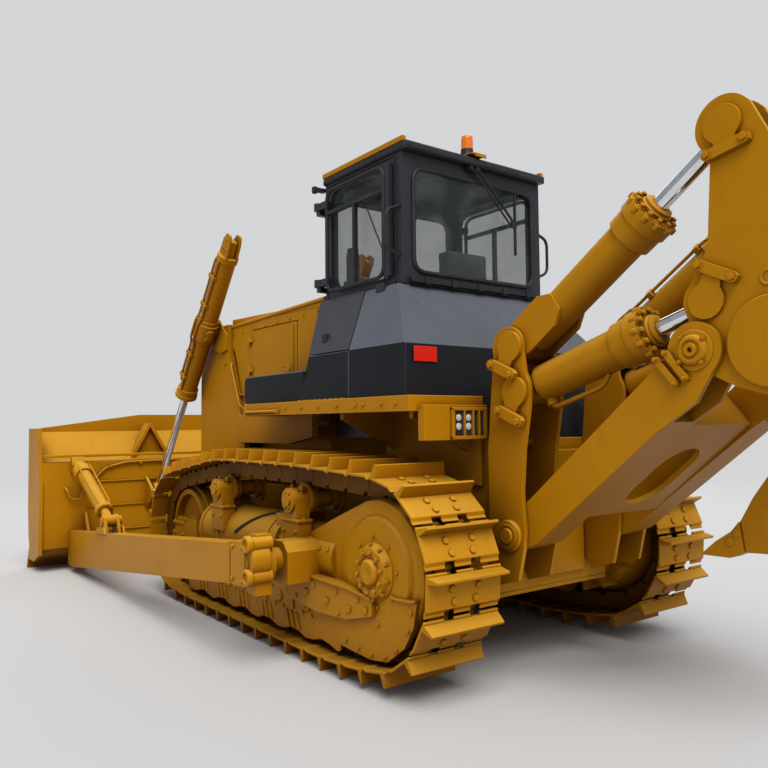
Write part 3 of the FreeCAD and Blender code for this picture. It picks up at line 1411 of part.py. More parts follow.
lift_bore = s.lift_rod_radius + s.pin_gap
trunnion_reach = s.lift_y - guard_half + 40
lift_barrels, lift_rods = [], []
for label, y_side in (("left", 1), ("right", -1)):
    barrel = hollow_barrel("lift_barrel_tube_" + label, -s.lift_barrel_up, s.lift_barrel_down,
                           s.lift_barrel_radius, lift_bore, s.lift_gland_radius, 90)
    collar = rod_x("lift_collar_" + label, -90, 90, s.lift_barrel_radius + 16)
    collar_cut = rod_x("lift_collar_bore_" + label, -100, 100, s.lift_barrel_radius - 10)
    low = -trunnion_reach if y_side > 0 else s.lift_barrel_radius - 20
    high = 20 - s.lift_barrel_radius if y_side > 0 else trunnion_reach
    stub = disc("lift_trunnion_" + label, 0, 0, s.yoke_pin_radius, low, high)
    head = block("lift_head_" + label, -s.lift_barrel_up - 45, 60 - s.lift_barrel_up,
                 -s.lift_barrel_radius * 0.7, s.lift_barrel_radius * 0.7,
                 -s.lift_barrel_radius * 0.7, s.lift_barrel_radius * 0.7)
    ring_piece = cut("lift_ring_" + label, collar, [collar_cut])
    lift_barrels.append(set_along("lift_barrel_" + label, [barrel, ring_piece, stub, head],
                                  y_side * s.lift_y, s.yoke_station, s.yoke_height, lift_angle))
    eye = disc("lift_eye_" + label, lift_reach, 0, 72, -s.lift_eye_half, s.lift_eye_half)
    shaft = rod_x("lift_shaft_" + label, s.lift_barrel_down - 600, lift_reach - 20,
                  s.lift_rod_radius)
    lift_rods.append(set_along("lift_rod_" + label, [shaft, eye], y_side * s.lift_y,
                               s.yoke_station, s.yoke_height, lift_angle))
node("lift_barrels", lift_barrels)
node("lift_rods", lift_rods)

# Ripper brackets: two plates a side with the three pins through them
outer_mid = s.ripper_outer - s.ripper_plate / 2
inner_mid = s.ripper_outer - s.ripper_plate * 1.5 - s.ripper_slot
slot_mid = s.ripper_outer - s.ripper_plate - s.ripper_slot / 2
plate_out = s.ripper_outer
plate_in = s.ripper_outer - s.ripper_plate * 2 - s.ripper_slot
bracket_outline = [
    (s.case_rear, 690), (s.low_pin_station + 110, s.low_pin_height - 325),
    (s.low_pin_station - 70, s.low_pin_height - 270), (s.low_pin_station - 118, s.low_pin_height - 70),
    (s.low_pin_station - 130, s.low_pin_height + 30), (s.low_pin_station - 112, 1180),
    (s.mid_pin_station - 75, 1450), (s.mid_pin_station - 120, s.mid_pin_height - 120),
    (s.mid_pin_station - 128, s.mid_pin_height), (s.mid_pin_station - 90, s.mid_pin_height + 110),
    (s.top_pin_station - 122, s.top_pin_height - 10), (s.top_pin_station - 105, s.top_pin_height + 60),
    (s.top_pin_station - 60, s.top_pin_height + 105), (s.top_pin_station, s.top_pin_height + 122),
    (s.top_pin_station + 60, s.top_pin_height + 105), (s.top_pin_station + 112, s.top_pin_height + 50),
    (s.case_rear, 1440),
]
bracket_pieces = []
for name, y_mid in (("outer", outer_mid), ("inner", inner_mid)):
    bracket_pieces.append(plate("bracket_plate_" + name, bracket_outline, s.ripper_plate, y=y_mid))
    for end, x, z in (("top", s.top_pin_station, s.top_pin_height),
                      ("mid", s.mid_pin_station, s.mid_pin_height)):
        bracket_pieces.append(disc("bracket_round_%s_%s" % (name, end), x, z, 127,
                                   y_mid - s.ripper_plate / 2, y_mid + s.ripper_plate / 2))
PINS = [
    ("low", s.low_pin_station, s.low_pin_height, 30),
    ("mid", s.mid_pin_station, s.mid_pin_height, 0),
    ("top", s.top_pin_station, s.top_pin_height, 0),
]
for name, x, z, boss in PINS:
    bracket_pieces.append(disc("bracket_pin_" + name, x, z, s.ripper_pin_radius,
                               plate_in, plate_out + 4))
    bracket_pieces.append(disc("bracket_boss_" + name, x, z, s.ripper_pin_radius + 22 + boss / 3,
                               plate_out, plate_out + 14 + boss / 2))
bracket_pieces.append(disc("bracket_spacer", s.low_pin_station + 65, 1477, 26, plate_in, plate_out))
bracket_pieces.append(block("bracket_foot", s.case_rear - 30, s.case_rear, plate_in, plate_out,
                            700, 1420))
bracket = fused("ripper_bracket_left", bracket_pieces)
node("ripper_brackets", pair("ripper_bracket_right", bracket))

# Lower ripper arms: two box beams, forked behind, on a wide plate with an oval hole.
# They are drawn along X from the low pin; local +Z is the side that faces down at rest.
beam_half = s.ripper_slot / 2 - s.side_gap
cheek = s.ripper_plate
arm_rise = s.arm_pin_height - s.low_pin_height
arm_run = s.arm_pin_station - s.low_pin_station
arm_reach = span(arm_rise, arm_run)
eye_bore = s.ripper_pin_radius + s.pin_gap
ripper_arm_outline = [
    (-95, -40), (-50, -90), (60, -100), (250, -s.arm_high_side), (arm_reach - 60, -s.arm_high_side),
    (arm_reach - 20, -140), (arm_reach + 60, -130), (arm_reach + 122, -70), (arm_reach + 140, 0),
    (arm_reach + 122, 70), (arm_reach + 60, 126), (arm_reach - 160, s.arm_low_side + 40),
    (arm_reach - 420, s.arm_low_side + 10), (120, s.arm_low_side - 10), (-30, 100), (-80, 60),
]
ripper_arm_pieces = []
for name, y_side in (("left", 1), ("right", -1)):
    y_mid = y_side * slot_mid
    beam = fused("ripper_beam_round_" + name, [
        plate("ripper_beam_" + name, ripper_arm_outline, beam_half * 2, y=y_mid),
        disc("ripper_beam_end_" + name, arm_reach, 0, 142, y_mid - beam_half, y_mid + beam_half),
    ])
    fork = block("ripper_fork_" + name, arm_reach - s.fork_depth, arm_reach + 200,
                 y_mid - (beam_half - cheek), y_mid + (beam_half - cheek), -300, 300)
    bores = [disc("ripper_bore_%s_%d" % (name, index), x, 0, eye_bore, y_mid - 300, y_mid + 300)
             for index, x in enumerate((as_size(0), arm_reach))]
    ripper_arm_pieces.append(cut("ripper_beam_cut_" + name, beam, [fork] + bores))
web_front, web_rear = s.web_front, arm_reach - s.fork_depth - 60
web = block("ripper_web", web_front, web_rear, -slot_mid, slot_mid, s.arm_low_side - 40,
            s.arm_low_side - 8)
oval = [post_z("ripper_oval_%d" % index, x, 0, 0, 300, 170)
        for index, x in enumerate((web_front + 260, web_front + 460))]
oval.append(block("ripper_oval_mid", web_front + 260, web_front + 460, -170, 170, 0, 300))
web_cut = cut("ripper_web_cut", web, oval)
cross_beam = block("ripper_cross_beam", web_rear - 120, web_rear, -slot_mid, slot_mid,
                   -s.arm_high_side + 10, s.arm_low_side - 20)
arms_whole = fused("ripper_arms_solid", ripper_arm_pieces + [web_cut, cross_beam])
turn_about_y(arms_whole, slant(arm_rise, arm_run))
place(arms_whole, s.low_pin_station, 0, s.low_pin_height)
node("ripper_arms", [arms_whole])

# Tower: plates inside the arms' forks, the cross tube and the shank's holder
tower_out = beam_half - cheek - s.side_gap
tower_mid = tower_out - s.ripper_plate / 2
rod_eye_half = tower_out - s.ripper_plate - s.side_gap
tower_outline = [
    (s.tower_pin_station + 140, s.tower_pin_height + 20), (s.tower_pin_station + 72, 2880),
    (s.tower_pin_station + 100, 2450), (s.rod_pin_station + 110, s.rod_pin_height + 60),
    (s.arm_pin_station + 40, 2060), (s.arm_pin_station + 100, 1990),
    (s.arm_pin_station + 104, 1910), (s.arm_pin_station + 40, 1845),
    (s.arm_pin_station - 77, 1824), (s.arm_pin_station - 195, 1764), (s.tube_station + 60, 1726),
    (s.ripper_rear + 90, 1740), (s.ripper_rear, 1860), (s.ripper_rear, 2200),
    (s.tower_pin_station - 230, 2900), (s.tower_pin_station - 128, 3110),
    (s.tower_pin_station - 60, 3162), (s.tower_pin_station + 20, 3172),
    (s.tower_pin_station + 96, 3140), (s.tower_pin_station + 132, 3085),
]
tower_pieces = []
for side, y_side in (("left", 1), ("right", -1)):
    for name, offset in (("outer", tower_mid), ("inner", -tower_mid)):
        y_mid = y_side * (slot_mid + offset)
        tower_pieces.append(plate("tower_plate_%s_%s" % (side, name), tower_outline,
                                  s.ripper_plate, y=y_mid))
        for end, x, z, radius in (("top", s.tower_pin_station, s.tower_pin_height, 147),
                                  ("rod", s.rod_pin_station, s.rod_pin_height, 128)):
            tower_pieces.append(disc("tower_round_%s_%s_%s" % (side, name, end), x, z, radius,
                                     y_mid - s.ripper_plate / 2, y_mid + s.ripper_plate / 2))
tower_pin_out = slot_mid + beam_half + 4
tower_face = slot_mid + tower_out
tower_pieces += [
    disc("tower_tube", s.tube_station, s.tube_height, s.tube_radius, -tower_face - 20,
         tower_face + 20),
    disc("tower_rear_tube", s.ripper_rear + 130, s.tube_height + 10, 90, -tower_face, tower_face),
    block("shank_holder", s.holder_rear, s.holder_front, -s.holder_half, s.holder_half,
          s.holder_low, s.holder_high),
]
for side, y_side in (("left", 1), ("right", -1)):
    low = slot_mid - beam_half - 4 if y_side > 0 else -tower_pin_out
    high = tower_pin_out if y_side > 0 else 4 - slot_mid + beam_half
    tower_pieces.append(disc("tower_arm_pin_" + side, s.arm_pin_station, s.arm_pin_height,
                             s.ripper_pin_radius, low, high))
slot_tool = block("shank_slot", s.shank_rear - s.shank_gap, s.shank_front + s.shank_gap,
                  -s.shank_thick / 2 - s.shank_gap, s.shank_thick / 2 + s.shank_gap,
                  s.holder_low - 400, s.holder_high + 400)
node("ripper_tower", [cut("tower_solid", fused("tower_joined", tower_pieces), [slot_tool])])

# Shank and its point
nose_x, nose_z = s.tooth_station - 226, as_size(1067)
node("ripper_shank", [
    plate("shank_plate", [
        (s.shank_rear, s.shank_top), (s.shank_front, s.shank_top), (s.shank_front, s.holder_low - 10),
        (s.shank_front + 45, 1600), (s.shank_front + 130, 1480), (s.tooth_station - 415, 1361),
        (s.tooth_station - 300, 1200), (nose_x, nose_z), (s.tooth_station - 250, 905),
        (s.tooth_station - 420, 915), (s.tooth_station - 640, 990), (s.tooth_station - 800, 1130),
        (s.shank_rear + 20, 1360), (s.shank_rear, 1620),
    ], s.shank_thick),
])
node("ripper_point", [
    plate("point_plate", [
        (s.tooth_station, s.tooth_height - 7), (s.tooth_station - 90, s.tooth_height + 75),
        (s.tooth_station - 180, 1010), (nose_x, nose_z), (s.tooth_station - 250, 905),
        (s.tooth_station - 170, 868),
    ], s.shank_thick + 24),
])

# Ripper cylinders: lift below, tilt above
# name, pivot station and height, rod pin station and height, gland's end
CYLINDERS = [
    ("ripper_lift", s.mid_pin_station, s.mid_pin_height, s.rod_pin_station, s.rod_pin_height,
     s.lift_gland_end),
    ("ripper_tilt", s.top_pin_station, s.top_pin_height, s.tower_pin_station,
     s.tower_pin_height, s.tilt_gland_end),
]
for label, x0, z0, x1, z1, gland_end in CYLINDERS:
    reach = span(z1 - z0, x1 - x0)
    angle = slant(z1 - z0, x1 - x0)
    barrels, rods = [], []
    for side, y_side in (("left", 1), ("right", -1)):
        tube = hollow_barrel("%s_tube_%s" % (label, side), 100, gland_end,
                             s.ripper_barrel_radius, s.ripper_rod_radius + s.pin_gap,
                             s.ripper_gland_radius, 80)
        root_eye = disc("%s_root_%s" % (label, side), 0, 0, 94, -beam_half, beam_half)
        neck = block("%s_neck_%s" % (label, side), 0, 110, -62, 62, -62, 62)
        bore = disc("%s_bore_%s" % (label, side), 0, 0, eye_bore, -200, 200)
        barrel = cut("%s_barrel_cut_%s" % (label, side),
                     fused("%s_barrel_raw_%s" % (label, side), [tube, root_eye, neck]), [bore])
        barrels.append(set_along("%s_barrel_%s" % (label, side), [barrel], y_side * slot_mid,
                                 x0, z0, angle))
        shaft = rod_x("%s_shaft_%s" % (label, side), 142, reach - 30, s.ripper_rod_radius)
        rod_eye = disc("%s_eye_%s" % (label, side), reach, 0, 82, -rod_eye_half, rod_eye_half)
        rods.append(set_along("%s_rod_%s" % (label, side), [shaft, rod_eye], y_side * slot_mid,
                              x0, z0, angle))
    node(label + "_barrels", barrels)
    node(label + "_rods", rods)

doc.recompute()

faults = []
for thing in doc.Objects:
    if "Invalid" in thing.State or "Error" in thing.State:
        faults.append("%s is %s" % (thing.Name, thing.State))
for part in sub_parts:
    if part.Shape.isNull() or not part.Shape.isValid():
        faults.append("%s has no sound shape" % part.Label)
if faults:
    raise RuntimeError("; ".join(faults))

os.makedirs("parts", exist_ok=True)
for part in sub_parts:
    part.Shape.exportStep(os.path.join("parts", part.Label + ".step"))
print("%d sub-parts written" % len(sub_parts))
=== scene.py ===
"""A crawler bulldozer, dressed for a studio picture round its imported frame.

Stations along X are given from the sprocket axle, as in the part's source, and at()
moves them to the frame's origin under the middle of the machine.
"""

from __future__ import annotations

import json
import logging
import math
from dataclasses import dataclass, field
from enum import Enum
from typing import Callable, Iterable, Sequence

import bmesh
import bpy
from mathutils import Matrix, Vector

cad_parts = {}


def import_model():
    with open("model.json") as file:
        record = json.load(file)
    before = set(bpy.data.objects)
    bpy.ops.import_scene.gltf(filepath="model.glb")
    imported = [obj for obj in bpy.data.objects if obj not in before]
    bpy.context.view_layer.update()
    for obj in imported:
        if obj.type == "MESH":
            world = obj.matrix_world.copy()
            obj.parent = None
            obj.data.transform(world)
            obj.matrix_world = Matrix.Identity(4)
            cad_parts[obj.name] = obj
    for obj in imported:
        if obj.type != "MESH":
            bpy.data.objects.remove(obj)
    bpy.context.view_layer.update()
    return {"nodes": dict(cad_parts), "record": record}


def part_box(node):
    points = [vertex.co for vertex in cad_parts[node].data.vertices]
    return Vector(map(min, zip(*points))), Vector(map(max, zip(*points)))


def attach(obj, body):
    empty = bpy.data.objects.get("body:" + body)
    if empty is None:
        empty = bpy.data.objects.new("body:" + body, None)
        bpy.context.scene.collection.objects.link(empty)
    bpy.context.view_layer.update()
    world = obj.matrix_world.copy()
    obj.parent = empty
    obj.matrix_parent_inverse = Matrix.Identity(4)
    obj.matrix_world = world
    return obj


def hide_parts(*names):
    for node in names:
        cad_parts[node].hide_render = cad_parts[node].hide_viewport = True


LOG = logging.getLogger("bulldozer")
STATION_SHIFT = -1.68
LEFT, RIGHT = 1, -1
SIDES = (LEFT, RIGHT)
ORIGIN, AHEAD, OUT, UP = (Vector(ends) for ends in ((0, 0, 0), (1, 0, 0), (0, 1, 0), (0, 0, 1)))
MADE_HERE = {"track_left", "track_right", "lift_barrels", "seat_cushion", "seat_back", "beacon"}
Colour = tuple[float, float, float]


def at(station: float, across: float, height: float) -> Vector:
    """Returns the point in the frame of a place given from the sprocket axle."""
    return Vector((station + STATION_SHIFT, across, height))


# ---- shader maths ----------------------------------------------------------------------


class Value:
    """A shader socket that takes part in plain arithmetic."""

    def __init__(self, board: "Board", socket: bpy.types.NodeSocket) -> None:
        """Args:
        board: the material's node board.
        socket: the output socket that this stands for.
        """
        self.board = board
        self.socket = socket

    def _math(self, operation: str, *terms: "Value | float") -> "Value":
        """Adds one Math node.

        Args:
            operation: the node's operation.
            terms: its inputs in order, sockets or numbers.

        Returns:
            The node's result.
        """
        node = self.board.node("ShaderNodeMath", {"operation": operation},
                               dict(enumerate(terms)))
        return Value(self.board, node.outputs[0])

    def __add__(self, other: "Value | float") -> "Value":
        """Returns the sum."""
        return self._math("ADD", self, other)

    def __sub__(self, other: "Value | float") -> "Value":
        """Returns the difference."""
        return self._math("SUBTRACT", self, other)

    def __mul__(self, other: "Value | float") -> "Value":
        """Returns the product."""
        return self._math("MULTIPLY", self, other)

    def __rsub__(self, other: float) -> "Value":
        """Returns a number less this."""
        return self._math("SUBTRACT", other, self)

    __radd__ = __add__
    __rmul__ = __mul__

    def fade(self, low: float, high: float) -> "Value":
        """Returns 0 below low, 1 above high and a smooth step between them."""
        node = self.board.node("ShaderNodeMapRange", {"interpolation_type": "SMOOTHSTEP"},
                               {"Value": self, "From Min": low, "From Max": high})
        return Value(self.board, node.outputs[0])


class Board:
    """The nodes of one material, round one Principled shader."""

    def __init__(self, name: str) -> None:
        """Args:
        name: the material's name.
        """
        self.material = bpy.data.materials.new(name)
        self.material.use_nodes = True
        self.tree = self.material.node_tree
        self.tree.nodes.clear()
        self.shader = self.tree.nodes.new("ShaderNodeBsdfPrincipled")
        output = self.tree.nodes.new("ShaderNodeOutputMaterial")
        self.tree.links.new(self.shader.outputs[0], output.inputs["Surface"])

    def node(self, kind: str, settings: dict | None = None,
             inputs: dict | None = None) -> bpy.types.Node:
        """Adds a node.

        Args:
            kind: the node's type.
            settings: its settings, set before its sockets.
            inputs: values or links by socket name or number.

        Returns:
            The new node.
        """
        node = self.tree.nodes.new(kind)
        for name, setting in (settings or {}).items():
            setattr(node, name, setting)
        for name, value in (inputs or {}).items():
            if isinstance(value, Value):
                self.tree.links.new(value.socket, node.inputs[name])
            else:
                node.inputs[name].default_value = value
        return node

    def place(self) -> Value:
        """Returns the object's own coordinates."""
        return Value(self, self.node("ShaderNodeTexCoord").outputs["Object"])

    def axis(self, vector: Value, name: str) -> Value:
        """Returns one component, X, Y or Z, of a vector."""
        split = self.node("ShaderNodeSeparateXYZ", None, {0: vector})
        return Value(self, split.outputs[name])

    def normal_up(self) -> Value:
        """Returns how far the surface faces up, from -1 to 1."""
        geometry = self.node("ShaderNodeNewGeometry")
        return self.axis(Value(self, geometry.outputs["Normal"]), "Z")

    def noise(self, scale: float, detail: float = 3.0, rough: float = 0.55,
              stretch: tuple[float, float, float] = (1.0, 1.0, 1.0)) -> Value:
        """Adds a noise pattern on the object's coordinates.

        Args:
            scale: bumps to a metre.
            detail: octaves.
            rough: weight of the fine octaves.
            stretch: scale along each axis, for streaks.

        Returns:
            The pattern, about 0.5 on average.
        """
        mapped = self.node("ShaderNodeMapping", None, {"Vector": self.place(), "Scale": stretch})
        noise = self.node("ShaderNodeTexNoise", None, {
            "Vector": Value(self, mapped.outputs[0]), "Scale": scale, "Detail": detail,
            "Roughness": rough,
        })
        return Value(self, noise.outputs["Fac"])

    def cells(self, scale: float) -> Value:
        """Returns the distance inside Voronoi cells of a given scale."""
        cells = self.node("ShaderNodeTexVoronoi", None, {"Vector": self.place(), "Scale": scale})
        return Value(self, cells.outputs["Distance"])

    def hollow(self, reach: float) -> Value:
        """Returns 1 in open places and less in corners closer than reach."""
        shade = self.node("ShaderNodeAmbientOcclusion", {"samples": 6}, {"Distance": reach})
        return Value(self, shade.outputs["AO"])

    def mix(self, share: "Value | float", first: "Value | Colour",
            second: "Value | Colour") -> Value:
        """Mixes two colours.

        Args:
            share: how much of the second.
            first: a colour or a socket.
            second: a colour or a socket.

        Returns:
            The mixed colour.
        """
        node = self.node("ShaderNodeMix", {"data_type": "RGBA"}, {0: share})
        for index, colour in ((6, first), (7, second)):
            if isinstance(colour, Value):
                self.tree.links.new(colour.socket, node.inputs[index])
            else:
                node.inputs[index].default_value = (*colour, 1.0)
        return Value(self, node.outputs[2])

    def bump(self, height: Value, strength: float, distance: float) -> Value:
        """Returns a normal bent by a height pattern."""
        node = self.node("ShaderNodeBump", None, {
            "Height": height, "Strength": strength, "Distance": distance})
        return Value(self, node.outputs[0])

    def feed(self, **sockets: "Value | float | Sequence[float]") -> "Board":
        """Sets or links the shader's sockets, named with _ for a space."""
        for name, value in sockets.items():
            socket = self.shader.inputs[name.replace("_", " ")]
            if isinstance(value, Value):
                self.tree.links.new(value.socket, socket)
            else:
                socket.default_value = value
        return self


# ---- finishes --------------------------------------------------------------------------


@dataclass(frozen=True)
class Enamel:
    """Sprayed machine enamel: slight mottling, a painted sky highlight on top faces, and painted
    shade in corners and on faces that look down.

    Attributes:
        name: the material's name.
        colour: the paint on upright faces.
        deep: the darker paint of the blotches, and the painted shade in corners and on faces that
            look down.
        top: the painted sky highlight, a paler colour on faces that look at the sky.
        rise: the face's upward share at which the painted highlight starts and is full.
        film: how strongly the painted highlight shows.
        roughness: the gloss.
        coat: weight of the clear coat.
        orange_peel: strength of the sprayed grain.
        shine: how mirror-like the paint is.
    """

    name: str
    colour: Colour
    deep: Colour
    top: Colour
    rise: tuple[float, float] = (0.05, 0.85)
    film: float = 0.85
    roughness: float = 0.38
    coat: float = 0.0
    orange_peel: float = 0.06
    shine: float = 0.08

    def build(self) -> bpy.types.Material:
        """Returns the material."""
        board = Board(self.name)
        broad = board.noise(1.7, 4.0)
        fine = board.noise(38.0, 4.0, 0.6)
        speck = board.noise(240.0, 2.0, 0.5)
        streaks = board.noise(9.0, 4.0, 0.6, (1.0, 1.0, 0.18))
        # The ambient occlusion mask, 1 in the open and less in corners, feeds the painted shade.
        unshaded, up = board.hollow(0.7).fade(0.05, 0.9), board.normal_up()
        tint = (broad - 0.5) * 0.7 + (fine - 0.5) * 0.25 + 0.25
        # Painted sky highlight: the paler top colour on faces that look up.
        body = board.mix(up.fade(*self.rise) * self.film, self.colour, self.top)
        body = board.mix(tint * 0.5, body, self.deep)
        body = board.mix(streaks.fade(0.56, 0.8) * 0.14, body, self.deep)
        # Painted shade: the deep colour in corners that ambient light hardly reaches, and on faces
        # that look down.
        body = board.mix((1.0 - unshaded) * 0.92, body, self.deep)
        body = board.mix((0.0 - up).fade(0.1, 0.9) * 0.6, body, self.deep)
        rough = broad * 0.12 + fine * 0.1 + streaks * 0.06 + (self.roughness - 0.14)
        board.feed(Base_Color=body, Roughness=rough, Coat_Weight=self.coat,
                   Coat_Roughness=0.12, Specular_IOR_Level=self.shine,
                   Normal=board.bump(speck * 0.4 + fine * 0.6, self.orange_peel, 0.0012))
        return board.material


@dataclass(frozen=True)
class CastMetal:
    """Rough cast or worn metal, with painted shade in its hollows."""

    name: str
    colour: Colour
    deep: Colour
    roughness: float = 0.55
    metallic: float = 0.6
    grain: float = 90.0

    def build(self) -> bpy.types.Material:
        """Returns the material."""
        board = Board(self.name)
        broad = board.noise(6.0, 5.0)
        fine = board.noise(self.grain, 4.0, 0.65)
        unshaded = board.hollow(0.05).fade(0.2, 0.95)
        body = board.mix(broad.fade(0.3, 0.7), self.colour, self.deep)
        # Painted shade: the deep colour in hollows that ambient light hardly reaches.
        body = board.mix((1.0 - unshaded) * 0.7, body, self.deep)
        board.feed(Base_Color=body, Roughness=fine * 0.3 + (self.roughness - 0.15),
                   Metallic=self.metallic,
                   Normal=board.bump(fine, 0.22, 0.0015))
        return board.material


@dataclass(frozen=True)
class ChromedRod:
    """Hard chrome on a cylinder rod, with faint turning marks and an oil film."""

    name: str

    def build(self) -> bpy.types.Material:
        """Returns the material."""
        board = Board(self.name)
        film = board.noise(14.0, 4.0)
        marks = board.noise(420.0, 2.0)
        body = board.mix(film.fade(0.4, 0.7) * 0.5, (0.8, 0.81, 0.83), (0.55, 0.55, 0.54))
        board.feed(Base_Color=body, Metallic=1.0, Roughness=film * 0.12 + 0.05,
                   Normal=board.bump(marks, 0.03, 0.0004))
        return board.material


@dataclass(frozen=True)
class Glazing:
    """Cab glass: a light smoked tint, with a little dust in patches."""

    name: str
    tint: Colour = (0.055, 0.07, 0.07)
    alpha: float = 0.26

    def build(self) -> bpy.types.Material:
        """Returns the material."""
        board = Board(self.name)
        dust = board.noise(5.0, 4.0)
        body = board.mix(dust.fade(0.45, 0.8) * 0.3, self.tint, (0.45, 0.46, 0.45))
        board.feed(Base_Color=body, Roughness=dust * 0.02 + 0.01,
                   Alpha=dust.fade(0.4, 0.8) * 0.05 + self.alpha, Specular_IOR_Level=0.6)
        board.material.surface_render_method = "BLENDED"
        return board.material


@dataclass(frozen=True)
class Moulding:
    """Rubber or moulded plastic with a fine grain."""

    name: str
    colour: Colour = (0.012, 0.012, 0.013)
    roughness: float = 0.55
    grain: float = 300.0

    def build(self) -> bpy.types.Material:
        """Returns the material."""
        board = Board(self.name)
        grain = board.noise(self.grain, 3.0)
        broad = board.noise(7.0, 3.0)
        pale = tuple(min(1.0, channel * 1.9 + 0.012) for channel in self.colour)
        body = board.mix(broad.fade(0.4, 0.8) * 0.6, self.colour, pale)
        board.feed(Base_Color=body, Roughness=grain * 0.2 + (self.roughness - 0.1),
                   Normal=board.bump(grain, 0.15, 0.0006))
        return board.material


@dataclass(frozen=True)
class Lens:
    """A ribbed coloured lens with a painted glow: a weak emission that stands in for the daylight
    it gathers.
    """

    name: str
    colour: Colour
    ribs: float = 260.0
    # The painted glow's strength; no lamp is lit.
    glow: float = 0.25

    def build(self) -> bpy.types.Material:
        """Returns the material."""
        board = Board(self.name)
        cells = board.cells(self.ribs)
        body = board.mix(cells.fade(0.1, 0.7) * 0.5, self.colour,
                         tuple(channel * 0.55 for channel in self.colour))
        # Painted glow: the lens emits its own colour though no lamp is lit.
        board.feed(Base_Color=body, Roughness=cells * 0.2 + 0.08, Coat_Weight=0.6,
                   Emission_Color=body, Emission_Strength=self.glow,
                   Normal=board.bump(cells, 0.35, 0.002))
        return board.material


@dataclass(frozen=True)
class Upholstery:
    """Woven seat cloth."""

    name: str
    colour: Colour = (0.035, 0.036, 0.04)

    def build(self) -> bpy.types.Material:
        """Returns the material."""
        board = Board(self.name)
        across = board.noise(600.0, 2.0, 0.5, (1.0, 0.12, 1.0))
        along = board.noise(600.0, 2.0, 0.5, (0.12, 1.0, 1.0))
        weave = across * 0.5 + along * 0.5
        body = board.mix(weave.fade(0.35, 0.65), self.colour,
                         tuple(channel * 2.2 for channel in self.colour))
        board.feed(Base_Color=body, Roughness=weave * 0.1 + 0.8, Sheen_Weight=0.3,
                   Normal=board.bump(weave, 0.5, 0.001))
        return board.material


class Finish(Enum):
    """Every finish on the machine, by the part of it that wears it."""

    # Each enamel gives its own colour, the darker colour of its blotches and painted shade, and the
    # paler colour of its painted sky highlight.
    YELLOW = Enamel("yellow_enamel", (0.56, 0.24, 0.005), (0.14, 0.044, 0.001),
                    (0.86, 0.45, 0.045), film=0.8)
    # The links' enamel is the yellow darkened as painted shade from the shoes above them.
    CHAIN = Enamel("shaded_chain_enamel", (0.22, 0.088, 0.006), (0.035, 0.012, 0.001),
                   (0.4, 0.18, 0.015), film=0.6, roughness=0.5)
    CHARCOAL = Enamel("charcoal_enamel", (0.034, 0.037, 0.044), (0.01, 0.011, 0.013),
                      (0.07, 0.075, 0.088), roughness=0.32, coat=0.05, orange_peel=0.03, shine=0.3)
    # The slate's pale blue top is a painted sky reflection, laid on past a narrow upward tilt.
    SLATE = Enamel("slate_enamel", (0.012, 0.013, 0.016), (0.004, 0.004, 0.005),
                   (0.15, 0.16, 0.195), (0.369, 0.386), 0.92, 0.42, 0.0, 0.03, 0.16)
    CAST = CastMetal("dark_cast", (0.07, 0.065, 0.06), (0.02, 0.018, 0.016))
    ZINC = CastMetal("zinc_hardware", (0.55, 0.54, 0.5), (0.25, 0.22, 0.17), 0.35, 0.9, 200.0)
    CHROME = ChromedRod("polished_chrome")
    GLASS = Glazing("cab_glazing")
    RUBBER = Moulding("black_rubber")
    PLASTIC = Moulding("cab_plastic", (0.03, 0.031, 0.033), 0.6, 500.0)
    CLOTH = Upholstery("seat_cloth")
    # The lenses' glow is painted light; no lamp is lit.
    AMBER = Lens("beacon_amber", (0.9, 0.19, 0.004), 180.0, 0.22)
    RED = Lens("red_reflector", (0.75, 0.015, 0.01), 420.0, 0.2)
    CLEAR = Lens("lamp_lens", (0.62, 0.64, 0.66), 320.0, 0.05)

    def material(self) -> bpy.types.Material:
        """Returns the finish's material, made the first time it is asked for."""
        return bpy.data.materials.get(self.value.name) or self.value.build()

    def cover(self, thing: bpy.types.Object) -> None:
        """Makes this the only finish that an object wears."""
        thing.data.materials.clear()
        thing.data.materials.append(self.material())


# ---- modelling bench -------------------------------------------------------------------


